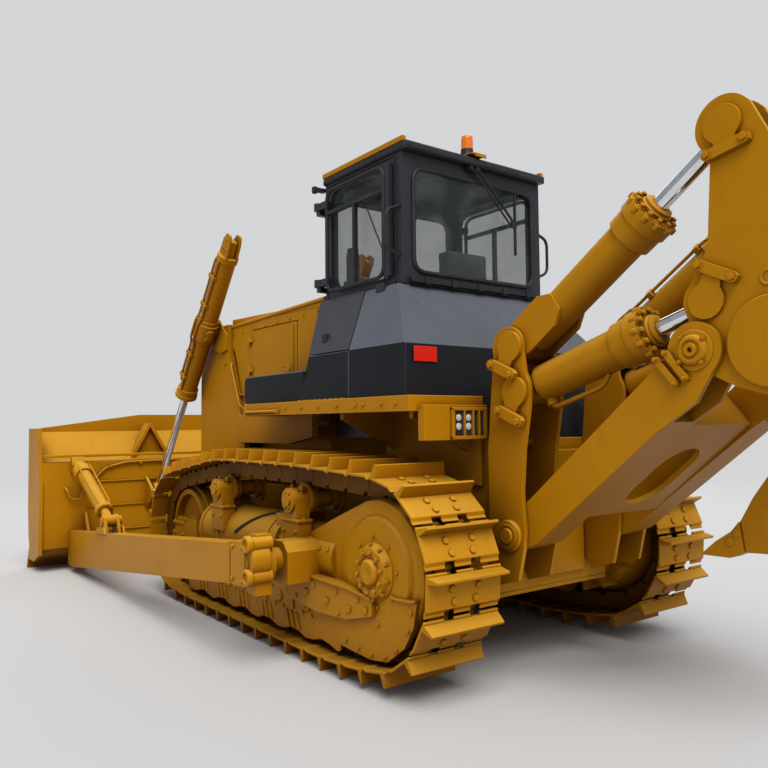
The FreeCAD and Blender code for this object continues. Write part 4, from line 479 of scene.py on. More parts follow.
class Bench:
    """Primitives at their size and place, shaped in edit mode and finished."""

    @staticmethod
    def clear() -> None:
        """Leaves edit mode and deselects everything."""
        if bpy.context.object and bpy.context.object.mode != "OBJECT":
            bpy.ops.object.mode_set(mode="OBJECT")
        bpy.ops.object.select_all(action="DESELECT")

    @staticmethod
    def pick(*things: bpy.types.Object) -> None:
        """Selects these objects alone; the first is active."""
        Bench.clear()
        for thing in things:
            thing.select_set(True)
        bpy.context.view_layer.objects.active = things[0]

    @staticmethod
    def settle(thing: bpy.types.Object, name: str) -> bpy.types.Object:
        """Names an object and moves its place, turn and scale into its mesh."""
        Bench.pick(thing)
        thing.name = name
        thing.data.name = name
        bpy.ops.object.transform_apply(location=True, rotation=True, scale=True)
        return thing

    @staticmethod
    def modify(thing: bpy.types.Object, kind: str, **settings: object) -> None:
        """Adds a modifier with these settings and applies it."""
        Bench.pick(thing)
        modifier = thing.modifiers.new(kind.lower(), kind)
        for name, setting in settings.items():
            setattr(modifier, name, setting)
        bpy.ops.object.modifier_apply(modifier=modifier.name)

    @staticmethod
    def soften(thing: bpy.types.Object, width: float, segments: int = 2,
               angle: float = 32.0) -> bpy.types.Object:
        """Rounds the sharp edges and smooths the rest.

        Args:
            thing: the object.
            width: the rounding's width in metres.
            segments: facets across the rounding.
            angle: edges sharper than this, in degrees, are rounded.

        Returns:
            The same object.
        """
        if width > 0:
            Bench.modify(thing, "BEVEL", width=width, segments=segments, limit_method="ANGLE",
                         angle_limit=math.radians(angle), use_clamp_overlap=True,
                         harden_normals=False, miter_outer="MITER_ARC")
        Bench.pick(thing)
        bpy.ops.object.shade_smooth_by_angle(angle=math.radians(angle))
        return thing

    @staticmethod
    def box(name: str, low: Vector, high: Vector, bevel: float = 0.004,
            segments: int = 2) -> bpy.types.Object:
        """Adds a box with rounded edges between two corners."""
        Bench.clear()
        middle = (low + high) / 2
        bpy.ops.mesh.primitive_cube_add(size=1.0, location=middle)
        thing = bpy.context.object
        thing.scale = [max(abs(c), 1e-4) for c in (high - low)]
        Bench.settle(thing, name)
        return Bench.soften(thing, bevel, segments)

    @staticmethod
    def rod(name: str, start: Vector, end: Vector, radius: float, sides: int = 32,
            bevel: float = 0.002, tip_radius: float | None = None) -> bpy.types.Object:
        """Adds a round bar between two points.

        Args:
            name: the object's name.
            start: the middle of its first end.
            end: the middle of its other end.
            radius: its radius.
            sides: facets round it.
            bevel: the rounding of its rims.
            tip_radius: the radius at its other end, where it tapers.

        Returns:
            The new object.
        """
        Bench.clear()
        reach = end - start
        bpy.ops.mesh.primitive_cone_add(vertices=sides, radius1=radius,
                                        radius2=radius if tip_radius is None else tip_radius,
                                        depth=reach.length, location=(start + end) / 2)
        thing = bpy.context.object
        thing.rotation_mode = "QUATERNION"
        thing.rotation_quaternion = reach.to_track_quat("Z", "Y")
        Bench.settle(thing, name)
        return Bench.soften(thing, bevel, 2, 50.0)

    @staticmethod
    def lathe(name: str, start: Vector, end: Vector,
              profile: Sequence[tuple[float, float]], sides: int = 48,
              bevel: float = 0.0) -> bpy.types.Object:
        """Spins a closed profile round the line from start to end.

        Args:
            name: the object's name.
            start: the axis's first point.
            end: a second point on it.
            profile: (distance along the axis from start, radius), outer skin in order.
            sides: facets round the axis.
            bevel: the rounding of sharp rims.

        Returns:
            The new object.
        """
        Bench.clear()
        bpy.ops.mesh.primitive_plane_add(size=1.0)
        thing = bpy.context.object
        bpy.ops.object.mode_set(mode="EDIT")
        mesh = bmesh.from_edit_mesh(thing.data)
        bmesh.ops.delete(mesh, geom=mesh.verts[:], context="VERTS")
        corners = [mesh.verts.new((radius, 0.0, along)) for along, radius in profile]
        for first, second in zip(corners, corners[1:]):
            mesh.edges.new((first, second))
        bmesh.update_edit_mesh(thing.data)
        bpy.ops.mesh.select_all(action="SELECT")
        bpy.ops.mesh.spin(steps=sides, angle=2 * math.pi, center=(0, 0, 0), axis=(0, 0, 1))
        bpy.ops.mesh.select_all(action="SELECT")
        bpy.ops.mesh.remove_doubles(threshold=1e-6)
        bpy.ops.mesh.dissolve_degenerate(threshold=1e-7)
        bpy.ops.mesh.normals_make_consistent(inside=False)
        bpy.ops.object.mode_set(mode="OBJECT")
        thing.rotation_mode = "QUATERNION"
        thing.rotation_quaternion = (end - start).to_track_quat("Z", "Y")
        thing.location = start
        Bench.settle(thing, name)
        return Bench.soften(thing, bevel, 2, 40.0)

    @staticmethod
    def slab(name: str, outline: Sequence[Vector], depth: Vector, bevel: float = 0.003,
             segments: int = 2) -> bpy.types.Object:
        """Extrudes a flat outline.

        Args:
            name: the object's name.
            outline: its corners in order.
            depth: the extrusion as a vector.
            bevel: the rounding of its edges.
            segments: facets across the rounding.

        Returns:
            The new object.
        """
        Bench.clear()
        bpy.ops.mesh.primitive_plane_add(size=1.0)
        thing = bpy.context.object
        bpy.ops.object.mode_set(mode="EDIT")
        mesh = bmesh.from_edit_mesh(thing.data)
        bmesh.ops.delete(mesh, geom=mesh.verts[:], context="VERTS")
        mesh.faces.new([mesh.verts.new(corner) for corner in outline])
        bmesh.update_edit_mesh(thing.data)
        bpy.ops.mesh.select_all(action="SELECT")
        bpy.ops.mesh.extrude_region_move(TRANSFORM_OT_translate={"value": depth})
        bpy.ops.mesh.select_all(action="SELECT")
        bpy.ops.mesh.normals_make_consistent(inside=False)
        bpy.ops.object.mode_set(mode="OBJECT")
        Bench.settle(thing, name)
        return Bench.soften(thing, bevel, segments)

    @staticmethod
    def pipe(name: str, route: Sequence[Vector], radius: float, sides: int = 12,
             bend: float = 0.05) -> bpy.types.Object:
        """Bends a steel line or bar along a route with rounded corners.

        Args:
            name: the object's name.
            route: its corner points.
            radius: the line's radius.
            sides: facets round it.
            bend: how far from each corner the bend starts.

        Returns:
            The new object.
        """
        points = [route[0]]
        for before, corner, after in zip(route, route[1:], route[2:]):
            entry, leave = (corner + leg.normalized() * min(bend, leg.length / 2.2)
                            for leg in (before - corner, after - corner))
            for step in range(7):
                share = step / 6
                points.append(entry.lerp(corner, share).lerp(corner.lerp(leave, share), share))
        points.append(route[-1])
        Bench.clear()
        bpy.ops.curve.primitive_bezier_curve_add()
        thing = bpy.context.object
        curve = thing.data
        curve.splines.clear()
        spline = curve.splines.new("POLY")
        spline.points.add(len(points) - 1)
        for point, place in zip(spline.points, points):
            point.co = (*place, 1.0)
        curve.bevel_depth = radius
        curve.bevel_resolution = max(0, sides // 4 - 1)
        curve.use_fill_caps = True
        bpy.ops.object.convert(target="MESH")
        thing = bpy.context.object
        Bench.settle(thing, name)
        return Bench.soften(thing, 0.0, 1, 50.0)

    @staticmethod
    def join(name: str, pieces: Sequence[bpy.types.Object]) -> bpy.types.Object:
        """Joins pieces into one object."""
        Bench.pick(*pieces)
        if len(pieces) > 1:
            bpy.ops.object.join()
        thing = bpy.context.object
        thing.name = name
        thing.data.name = name
        return thing

    @staticmethod
    def repeat(name: str, pattern: bpy.types.Object,
               places: Iterable[Matrix]) -> bpy.types.Object:
        """Copies a small piece to many places as one mesh and removes the pattern.

        Args:
            name: the new object's name.
            pattern: the piece, modelled at the origin.
            places: where each copy goes.

        Returns:
            The joined copies.
        """
        gathered = bmesh.new()
        for place in places:
            count = len(gathered.verts)
            gathered.from_mesh(pattern.data)
            gathered.verts.ensure_lookup_table()
            fresh = gathered.verts[count:]
            bmesh.ops.transform(gathered, matrix=place, verts=fresh)
            if place.determinant() < 0:
                faces = {face for vert in fresh for face in vert.link_faces}
                bmesh.ops.reverse_faces(gathered, faces=list(faces))
        mesh = bpy.data.meshes.new(name)
        gathered.to_mesh(mesh)
        gathered.free()
        for material in pattern.data.materials:
            mesh.materials.append(material)
        thing = bpy.data.objects.new(name, mesh)
        bpy.context.scene.collection.objects.link(thing)
        bpy.data.objects.remove(pattern)
        return thing

    @staticmethod
    def mirror(name: str, thing: bpy.types.Object) -> bpy.types.Object:
        """Returns a copy on the machine's other side."""
        Bench.pick(thing)
        bpy.ops.object.duplicate()
        twin = bpy.context.object
        twin.scale.y = -1.0
        Bench.settle(twin, name)
        bpy.ops.object.mode_set(mode="EDIT")
        bpy.ops.mesh.select_all(action="SELECT")
        bpy.ops.mesh.normals_make_consistent(inside=False)
        bpy.ops.object.mode_set(mode="OBJECT")
        return twin

    @staticmethod
    def carve(thing: bpy.types.Object, cutter: bpy.types.Object) -> bpy.types.Object:
        """Cuts one object out of another and removes the cutter."""
        Bench.modify(thing, "BOOLEAN", operation="DIFFERENCE", solver="EXACT", object=cutter)
        bpy.data.objects.remove(cutter)
        return thing

    @staticmethod
    def stand(point: Vector, direction: Vector, turn: float = 0.0) -> Matrix:
        """Returns the place that stands a piece's Z axis along a direction."""
        spin = direction.to_track_quat("Z", "Y").to_matrix().to_4x4()
        return Matrix.Translation(point) @ spin @ Matrix.Rotation(turn, 4, "Z")

    @staticmethod
    def bolt(size: float, height: float, washer: float = 1.5) -> bpy.types.Object:
        """Models one hexagon bolt head on its washer, pointing up at the origin."""
        head = Bench.rod("bolt_head", ORIGIN, UP * height, size, 6,
                         height * 0.16)
        ring = Bench.rod("bolt_washer", ORIGIN, UP * height * 0.2,
                         size * washer, 14, height * 0.05)
        return Bench.join("bolt", [head, ring])


def ring_places(centre: Vector, axis: Vector, radius: float, count: int,
                start: float = 0.0) -> list[Matrix]:
    """Returns places evenly round a circle, each pointing along the axis."""
    spin = axis.to_track_quat("Z", "Y")
    places = []
    for index in range(count):
        angle = start + 2 * math.pi * index / count
        offset = spin @ Vector((radius * math.cos(angle), radius * math.sin(angle), 0))
        places.append(Bench.stand(centre + offset, axis, angle))
    return places


class Slot(str, Enum):
    """The record's material slots."""

    YELLOW = "yellow_paint"
    BLACK = "black_paint"
    CHROME = "rod_chrome"
    GLASS = "window_glass"
    CLOTH = "seat_fabric"
    DARK = "dark_steel"
    AMBER = "amber_lens"
    PLASTIC = "dark_plastic"


class Fitter:
    """Gives a piece its finish and sets it on the body that carries it."""

    count = 0

    @staticmethod
    def fit(thing: bpy.types.Object, finish: Finish | None, body: str, slot: Slot,
            replaces: Sequence[str] = ()) -> bpy.types.Object:
        """Fits one piece.

        Args:
            thing: the piece.
            finish: what it is painted or made of; None where it wears its finishes already.
            body: the body that it rides on.
            slot: the record's material slot; not used.
            replaces: the nodes that it stands for.

        Returns:
            The same object.
        """
        Bench.modify(thing, "WEIGHTED_NORMAL", keep_sharp=True, weight=50)
        if finish is not None:
            finish.cover(thing)
        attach(thing, body)
        if replaces:
            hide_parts(*replaces)
        Fitter.count += 1
        LOG.info("%s on %s", thing.name, body)
        return thing


# ---- carried-over nodes ----------------------------------------------------------------


@dataclass
class Panelwork:
    """The frame's own plates and castings, with their edges rounded as flame-cut steel's.

    Attributes:
        rounded: node name and the width of its edge rounding in metres.
        edge_angle: nodes whose shallow folds count as edges, and the angle in degrees.
    """

    rounded: dict[str, float] = field(default_factory=lambda: {
        "blade": 0.006, "push_arms": 0.008, "ripper_arms": 0.008, "ripper_tower": 0.008,
        "ripper_brackets": 0.006, "track_frames": 0.008, "radiator_guard": 0.005,
        "hood_top": 0.006, "hood_sides": 0.004, "engine_door_left": 0.003,
        "engine_door_right": 0.003, "decks": 0.004, "rear_case": 0.008, "final_drives": 0.005,
        "main_frame": 0.006, "rear_tank": 0.005, "consoles": 0.005, "low_boxes": 0.01,
        "cab_rear_panel": 0.006, "cab_front_panel": 0.006, "cab_sides": 0.006, "cab_roof": 0.01,
        "cab_door_left": 0.008, "cab_door_right": 0.008, "ripper_shank": 0.008,
        "ripper_point": 0.004, "cutting_edge": 0.003, "lamp_boxes": 0.004,
        "tilt_cylinder": 0.004, "tilt_brace": 0.004,
        "ripper_lift_barrels": 0.004, "ripper_tilt_barrels": 0.004, "equalizer_bar": 0.006,
        "idlers": 0.004, "sprockets": 0.003, "radiator_grille": 0.002, "engine_block": 0.01,
    })
    edge_angle: dict[str, float] = field(default_factory=lambda: {
        "rear_tank": 12.0, "consoles": 12.0, "low_boxes": 14.0, "blade": 16.0})

    def finish_of(self, node: str) -> tuple[Finish, Slot]:
        """Returns the finish and slot of a node."""
        if node in ("rear_tank", "consoles", "low_boxes"):
            return Finish.SLATE, Slot.BLACK
        if node in ("cab_floor", "cab_rear_panel", "cab_front_panel", "cab_sides", "cab_roof",
                    "cab_door_left", "cab_door_right", "cab_hinges", "seat_base",
                    "radiator_core"):
            return Finish.CHARCOAL, Slot.BLACK
        if node in ("cab_glass", "door_glass_left", "door_glass_right"):
            return Finish.GLASS, Slot.GLASS
        if node.endswith("_rods"):
            return Finish.CHROME, Slot.CHROME
        if node == "dash":
            return Finish.PLASTIC, Slot.PLASTIC
        if node == "exhaust_stack":
            return Finish.CAST, Slot.DARK
        return Finish.YELLOW, Slot.YELLOW

    def rounded_copy(self, node: bpy.types.Object, width: float) -> bpy.types.Object:
        """Copies a node, clears its seams and rounds its edges.

        Args:
            node: the node's object.
            width: the rounding's width.

        Returns:
            The new piece.
        """
        copy = bpy.data.objects.new(node.name + "_shell", node.data.copy())
        bpy.context.scene.collection.objects.link(copy)
        Bench.pick(copy)
        bpy.ops.object.mode_set(mode="EDIT")
        bpy.ops.mesh.select_all(action="SELECT")
        bpy.ops.mesh.remove_doubles(threshold=2e-5)
        bpy.ops.mesh.dissolve_limited(angle_limit=math.radians(1.5))
        bpy.ops.object.mode_set(mode="OBJECT")
        return Bench.soften(copy, width, 2, self.edge_angle.get(node.name, 30.0))

    def dress(self, nodes: dict[str, bpy.types.Object], bodies: dict[str, list[str]]) -> None:
        """Finishes every carried-over node.

        Args:
            nodes: the frame's nodes that no piece of this file stands for.
            bodies: body name and the nodes on it.
        """
        home = {name: body for body, members in bodies.items() for name in members}
        for name, node in sorted(nodes.items()):
            finish, slot = self.finish_of(name)
            if name in self.rounded:
                shell = self.rounded_copy(node, self.rounded[name])
                Fitter.fit(shell, finish, home[name], slot, [name])
                continue
            finish.cover(node)
            Bench.pick(node)
            bpy.ops.object.shade_smooth_by_angle(angle=math.radians(30.0))


# ---- dressing --------------------------------------------------------------------------


@dataclass
class Dresser:
    """Shared ways to fit a sub-assembly's pieces.

    Attributes:
        body: the body that carries the pieces unless another is named.
    """

    body: str = "hull"

    def fit(self, thing: bpy.types.Object, finish: Finish | None = Finish.YELLOW,
            slot: Slot = Slot.YELLOW, body: str | None = None,
            replaces: Sequence[str] = ()) -> bpy.types.Object:
        """Fits one piece; see Fitter.fit."""
        return Fitter.fit(thing, finish, body or self.body, slot, replaces)

    def both(self, name: str, left: bpy.types.Object, finish: Finish = Finish.YELLOW,
             slot: Slot = Slot.YELLOW, body: str | None = None,
             replaces: Sequence[str] = ()) -> bpy.types.Object:
        """Fits a left piece and its mirror image as one piece.

        Args:
            name: the joined piece's name.
            left: the piece on the left.
            finish: its finish.
            slot: its slot.
            body: the body that carries it, where it isn't the sub-assembly's own.
            replaces: nodes that the pair stands for.

        Returns:
            The joined piece.
        """
        right = Bench.mirror(name + "_right", left)
        return self.fit(Bench.join(name, [left, right]), finish, slot, body, replaces)

    def on_side(self, thing: bpy.types.Object, side: int) -> bpy.types.Object:
        """Returns a left piece or, on the right, its mirror image in its stead."""
        if side == LEFT:
            return thing
        name = thing.name
        twin = Bench.mirror(name + "_twin", thing)
        bpy.data.objects.remove(thing)
        twin.name = name
        return twin

    def bolts(self, name: str, size: float, height: float,
              places: Iterable[Matrix]) -> bpy.types.Object:
        """Sets the same bolt head at many places."""
        return Bench.repeat(name, Bench.bolt(size, height), places)

    def outward(self, spots: Sequence[tuple[float, float]], across: float) -> list[Matrix]:
        """Returns places on a left side plane that face outward, from stations and heights."""
        return [Bench.stand(at(x, across, z), OUT) for x, z in spots]

    def side_slab(self, name: str, spots: Sequence[tuple[float, float]], inner: float,
                  outer: float, bevel: float = 0.003) -> bpy.types.Object:
        """Adds a plate parallel to the machine's side.

        Args:
            name: its name.
            spots: its outline as (station, height).
            inner: its near face across.
            outer: its far face across.
            bevel: its edge rounding.

        Returns:
            The plate.
        """
        outline = [at(x, inner, z) for x, z in spots]
        return Bench.slab(name, outline, Vector((0, outer - inner, 0)), bevel)

    def bar(self, name: str, start: tuple[float, float], end: tuple[float, float],
            width: float, inner: float, outer: float) -> bpy.types.Object:
        """Adds a flat bar between two side-plane spots, with a bolt head at both ends."""
        first, last = Vector(start), Vector(end)
        along = (last - first).normalized()
        across = Vector((-along.y, along.x)) * width / 2
        tip = along * width * 0.45
        outline = [first - tip + across * 0.6, first - tip - across * 0.6, first - across,
                   last - across, last + tip - across * 0.6, last + tip + across * 0.6,
                   last + across, first + across]
        plate = self.side_slab(name, [tuple(corner) for corner in outline], inner, outer, 0.004)
        heads = self.bolts(name + "_heads", width * 0.34, 0.018, self.outward([start, end], outer))
        return Bench.join(name, [plate, heads])

    def keyhole(self, name: str, pin: tuple[float, float], neck: tuple[float, float],
                radius: float, inner: float, outer: float) -> bpy.types.Object:
        """Adds a pin's keyhole cover: a disc whose neck runs towards its retainer bar."""
        centre, aim = Vector(pin), Vector(neck)
        heading = math.atan2((aim - centre).y, (aim - centre).x)
        outline = []
        for step in range(33):
            angle = heading + math.radians(38) + math.radians(284) * step / 32
            outline.append(centre + Vector((math.cos(angle), math.sin(angle))) * radius)
        side = Vector((-math.sin(heading), math.cos(heading))) * radius * 0.5
        outline += [aim - side, aim + side]
        return self.side_slab(name, [tuple(corner) for corner in outline], inner, outer, 0.005)

    def boss(self, name: str, spot: tuple[float, float], across: float,
             profile: Sequence[tuple[float, float]], sides: int = 48) -> bpy.types.Object:
        """Adds a turned boss that faces outward from a left side plane."""
        start = at(spot[0], across, spot[1])
        return Bench.lathe(name, start, start + OUT, profile, sides, 0.0015)


@dataclass
class TrackChain(Dresser):
    """A crawler chain: bolted shoes on paired links, laid along the pin line.

    Attributes:
        shoes: shoes a side.
        phase: the first pin's share of a pitch past the start.
        grouser: the grouser's share of the way to the next pin.
        half_width: half the shoe's width.
        centre: the chain's middle across.
        circles: corner circles of the pin line as (station, height, radius).
    """

    shoes: int = 41
    phase: float = 0.94
    grouser: float = 0.18
    half_width: float = 0.28
    centre: float = 1.07
    circles: tuple[tuple[float, float, float], ...] = (
        (0.0, 0.711, 0.4956), (0.42, 0.171, 0.001), (2.8, 0.171, 0.001),
        (3.1925, 0.64, 0.45), (2.19, 1.085, 0.16), (0.96, 1.085, 0.16))

    def pin_line(self) -> list[tuple[float, Callable[[float], Vector]]]:
        """Returns the arcs and straights round the circles as (length, place at a distance)."""
        ahead = self.circles[1:] + self.circles[:1]
        outward = []
        for (x0, z0, r0), (x1, z1, r1) in zip(self.circles, ahead):
            gap = math.hypot(x1 - x0, z1 - z0)
            outward.append(math.atan2(z1 - z0, x1 - x0) + math.asin((r0 - r1) / gap)
                           - math.pi / 2)
        line: list[tuple[float, Callable[[float], Vector]]] = []
        for index, ((x, z, r), (nx, nz, nr)) in enumerate(zip(self.circles, ahead)):
            start, end = outward[index - 1], outward[index]
            spoke = Vector((math.cos(end), math.sin(end)))

            def arc(reach: float, x: float = x, z: float = z, r: float = r,
                    start: float = start) -> Vector:
                angle = start + reach / r
                return Vector((x + r * math.cos(angle), z + r * math.sin(angle)))

            line.append((r * ((end - start) % (2 * math.pi)), arc))
            first, last = Vector((x, z)) + spoke * r, Vector((nx, nz)) + spoke * nr
            length = (last - first).length

            def straight(reach: float, first: Vector = first, last: Vector = last,
                         length: float = length) -> Vector:
                return first.lerp(last, reach / length)

            line.append((length, straight))
        return line

    def pins(self) -> list[Vector]:
        """Returns the pins' places as (station, height)."""
        line = self.pin_line()
        total = sum(length for length, _ in line)
        places = []
        for index in range(self.shoes):
            reach = (index + self.phase) * total / self.shoes % total
            for length, place in line:
                if reach <= length:
                    places.append(place(reach))
                    break
                reach -= length
        return places

    def shoe(self, pitch: float) -> bpy.types.Object:
        """Models one shoe along +X from its pin, its grouser pointing up."""
        half = self.half_width
        plate = Bench.slab("shoe_plate", [Vector((x, -half, z)) for x, z in (
            (0.008, 0.0735), (pitch - 0.02, 0.0735), (pitch - 0.004, 0.064),
            (pitch + 0.022, 0.064), (pitch + 0.024, 0.07), (pitch + 0.004, 0.072),
            (pitch - 0.012, 0.086), (pitch - 0.018, 0.0895), (0.014, 0.0895), (0.006, 0.084))],
            Vector((0, 2 * half, 0)), 0.0)
        for side in SIDES:
            for low, high in ((-0.02, 0.029), (pitch - 0.01, pitch + 0.05)):
                cutter = Bench.box("window_cutter", Vector((low, side * 0.098 - 0.036, 0.05)),
                                   Vector((high, side * 0.098 + 0.036, 0.12)), 0.0)
                Bench.carve(plate, cutter)
        Bench.soften(plate, 0.0022, 1)
        stand = self.grouser * pitch
        rib = Bench.slab("shoe_rib", [Vector((x, -half, z)) for x, z in (
            (stand - 0.02, 0.088), (stand + 0.02, 0.088), (stand + 0.0085, 0.1695),
            (stand - 0.0085, 0.1695))], Vector((0, 2 * half, 0)), 0.0)
        for vertex in rib.data.vertices:
            if vertex.co.z > 0.12:
                vertex.co.y *= 0.972
        Bench.soften(rib, 0.003, 2)
        near, far = stand + 0.062, pitch - 0.052
        head = Bench.rod("shoe_head", ORIGIN, UP * 0.015, 0.0235, 12,
                         0.005, 0.019)
        heads = Bench.repeat("shoe_bolts", head, [
            Bench.stand(Vector((x, y, 0.0885)), UP, 0.3 + x)
            for x, reach in ((near, 0.1), (far, 0.08)) for y in (reach, -reach)])
        return Bench.join("shoe", [plate, rib, heads])

    def link(self, pitch: float) -> bpy.types.Object:
        """Models one pair of links with the pin's bosses and bush at their rear end."""
        outline = ((0.004, 0.0), (0.024, -0.0695), (pitch - 0.024, -0.0695),
                   (pitch - 0.004, 0.0), (pitch - 0.006, 0.028), (pitch - 0.04, 0.071),
                   (pitch * 0.62, 0.071), (pitch * 0.56, 0.052), (pitch * 0.44, 0.052),
                   (pitch * 0.38, 0.071), (0.04, 0.071), (0.006, 0.028))
        pieces = []
        for side in SIDES:
            low = side * 0.098 - 0.022
            pieces.append(Bench.slab("link_plate", [Vector((x, low, z)) for x, z in outline],
                                     Vector((0, 0.044, 0)), 0.003, 1))
            pieces.append(Bench.rod("link_boss", Vector((0, low - 0.003, 0)),
                                    Vector((0, low + 0.047, 0)), 0.046, 20, 0.003))
        pieces.append(Bench.rod("link_bush", Vector((0, -0.08, 0)), Vector((0, 0.08, 0)),
                                0.034, 16, 0.0))
        return Bench.join("link", pieces)

    def build(self) -> None:
        """Lays both chains."""
        pins = self.pins()
        pitch = max((last - first).length for first, last in zip(pins, pins[1:]))
        for name, side in (("left", LEFT), ("right", RIGHT)):
            places = []
            for first, last in zip(pins, pins[1:] + pins[:1]):
                run = (last - first).normalized()
                stretch = (last - first).length / pitch
                place = Matrix(((run.x * stretch, 0, run.y), (0, -1, 0),
                                (run.y * stretch, 0, -run.x))).to_4x4()
                place.translation = at(first.x, side * self.centre, first.y)
                places.append(place)
            layers = [Bench.repeat("shoes", self.shoe(pitch), places),
                      Bench.repeat("links", self.link(pitch), places)]
            # The links wear the yellow darkened as painted shade under the shoes' overhang.
            for layer, finish in zip(layers, (Finish.YELLOW, Finish.CHAIN)):
                finish.cover(layer)
            self.fit(Bench.join("track_chain_" + name, layers), None,
                     replaces=["track_" + name])


@dataclass
class Undercarriage(Dresser):
    """Hubs, guards, recoil housings and carrier rollers of the track frames.

    Attributes:
        face: the guards' outer plane across.
        guard: the raised side guard's outer plane across.
    """

    face: float = 1.275
    guard: float = 1.31

    def hubs(self) -> None:
        """Adds the drive hubs with their bolt rings."""
        spot, out = (0.0, 0.711), OUT
        hub = self.boss("drive_hub", spot, self.face - 0.004, (
            (0.0, 0.0), (0.0, 0.176), (0.012, 0.176), (0.02, 0.164), (0.036, 0.152),
            (0.048, 0.148), (0.054, 0.138), (0.054, 0.104), (0.046, 0.098), (0.046, 0.084),
            (0.064, 0.08), (0.076, 0.066), (0.076, 0.034), (0.07, 0.026), (0.07, 0.0)), 64)
        rim = self.bolts("hub_bolts", 0.016, 0.018, ring_places(
            at(0.0, self.face + 0.049, 0.711), out, 0.121, 10, 0.2))
        foot = self.bolts("hub_foot_bolts", 0.012, 0.012, ring_places(
            at(0.0, self.face, 0.711), out, 0.212, 8, 0.1))
        fins = [self.side_slab("hub_fin_%d" % index, [
            (0.148 * math.cos(turn - 0.07), 0.711 + 0.148 * math.sin(turn - 0.07)),
            (0.171 * math.cos(turn - 0.05), 0.711 + 0.171 * math.sin(turn - 0.05)),
            (0.171 * math.cos(turn + 0.05), 0.711 + 0.171 * math.sin(turn + 0.05)),
            (0.148 * math.cos(turn + 0.07), 0.711 + 0.148 * math.sin(turn + 0.07))],
            self.face, self.face + 0.042, 0.002)
            for index, turn in enumerate(math.pi * k / 5 + 0.2 for k in range(10))]
        self.both("drive_hubs", Bench.join("drive_hub", [hub, rim, foot] + fins))

    def guards(self) -> None:
        """Adds the guards' ledge bars, scalloped skirt, ribs, bolts and pads."""
        line = [(1.044, 0.583), (0.26, 0.573), (0.09, 0.559), (-0.004, 0.546)]
        rear = [(-0.398, 0.6), (-0.36, 0.586), (-0.2, 0.578), (-0.16, 0.584)]
        pieces = [
            self.side_slab("ledge_bar", line + [(x, z + 0.016) for x, z in line[::-1]],
                           1.235, self.guard + 0.022, 0.004),
            self.side_slab("ledge_tail", rear + [(x, z + 0.016) for x, z in rear[::-1]],
                           1.2, self.face + 0.02, 0.004),
        ]
        for index, (x, z) in enumerate(((0.76, 0.47), (0.5, 0.455), (0.24, 0.45),
                                        (0.06, 0.475))):
            pieces.append(Bench.box(
                "guard_pad_%d" % index, at(x - 0.02, self.guard - 0.004, z - 0.02),
                at(x + 0.02, self.guard + 0.014, z + 0.02), 0.005))
        pieces.append(self.bolts("guard_bolts", 0.013, 0.012, self.outward(
            [(0.94, 0.53), (0.66, 0.53), (0.38, 0.53), (0.14, 0.52), (0.9, 0.42), (0.36, 0.4)],
            self.guard)))
        pieces.append(self.bolts("lower_bolts", 0.014, 0.012, self.outward(
            [(0.33, 0.232), (0.19, 0.215), (0.05, 0.205), (-0.09, 0.225), (-0.2, 0.29),
             (-0.31, 0.42), (-0.345, 0.53), (-0.02, 0.4)], self.face)))
        stations = [0.42 + (2.8 - 0.42) * index / 6 for index in range(7)]
        pieces.append(self.bolts("roller_bolts", 0.013, 0.014, self.outward(
            [(x + shift, z) for x in stations[1:] for shift, z in
             ((-0.06, 0.3), (0.06, 0.3), (-0.115, 0.42), (0.115, 0.42))], 1.27)))
        wave = [(0.405, 0.405), (0.405, 0.15)]
        for index in range(25):
            x = 0.44 + 2.46 * index / 24
            wave.append((x, 0.15 + 0.02 * math.cos((x - 0.62) * 2 * math.pi / 0.397)))
        wave += [(2.93, 0.17), (2.93, 0.345)]
        pieces.append(self.side_slab("guard_skirt", wave, 1.254, 1.268, 0.003))
        for index, x in enumerate(stations[1:6]):
            for shift in (-0.1, -0.03, 0.04):
                pieces.append(self.side_slab("skirt_rib_%d" % index, [
                    (x + shift + 0.2, 0.172), (x + shift + 0.225, 0.172),
                    (x + shift + 0.265, 0.285), (x + shift + 0.24, 0.285)], 1.264, 1.282, 0.005))
        caps = [self.boss("roller_cap_%d" % index, (x, 0.3603), 1.268, (
            (0.0, 0.0), (0.0, 0.043), (0.012, 0.043), (0.018, 0.036), (0.018, 0.016),
            (0.012, 0.012), (0.012, 0.0)), 24) for index, x in enumerate(stations[1:])]
        ribs = [self.side_slab("guard_rib_%d" % index, [
            (x + 0.185, 0.3), (x + 0.212, 0.3), (x + 0.212, 0.505), (x + 0.185, 0.505)],
            1.268, 1.284, 0.003) for index, x in enumerate(stations[1:6])]
        self.both("guard_hardware", Bench.join("guard_hardware", pieces + caps + ribs))

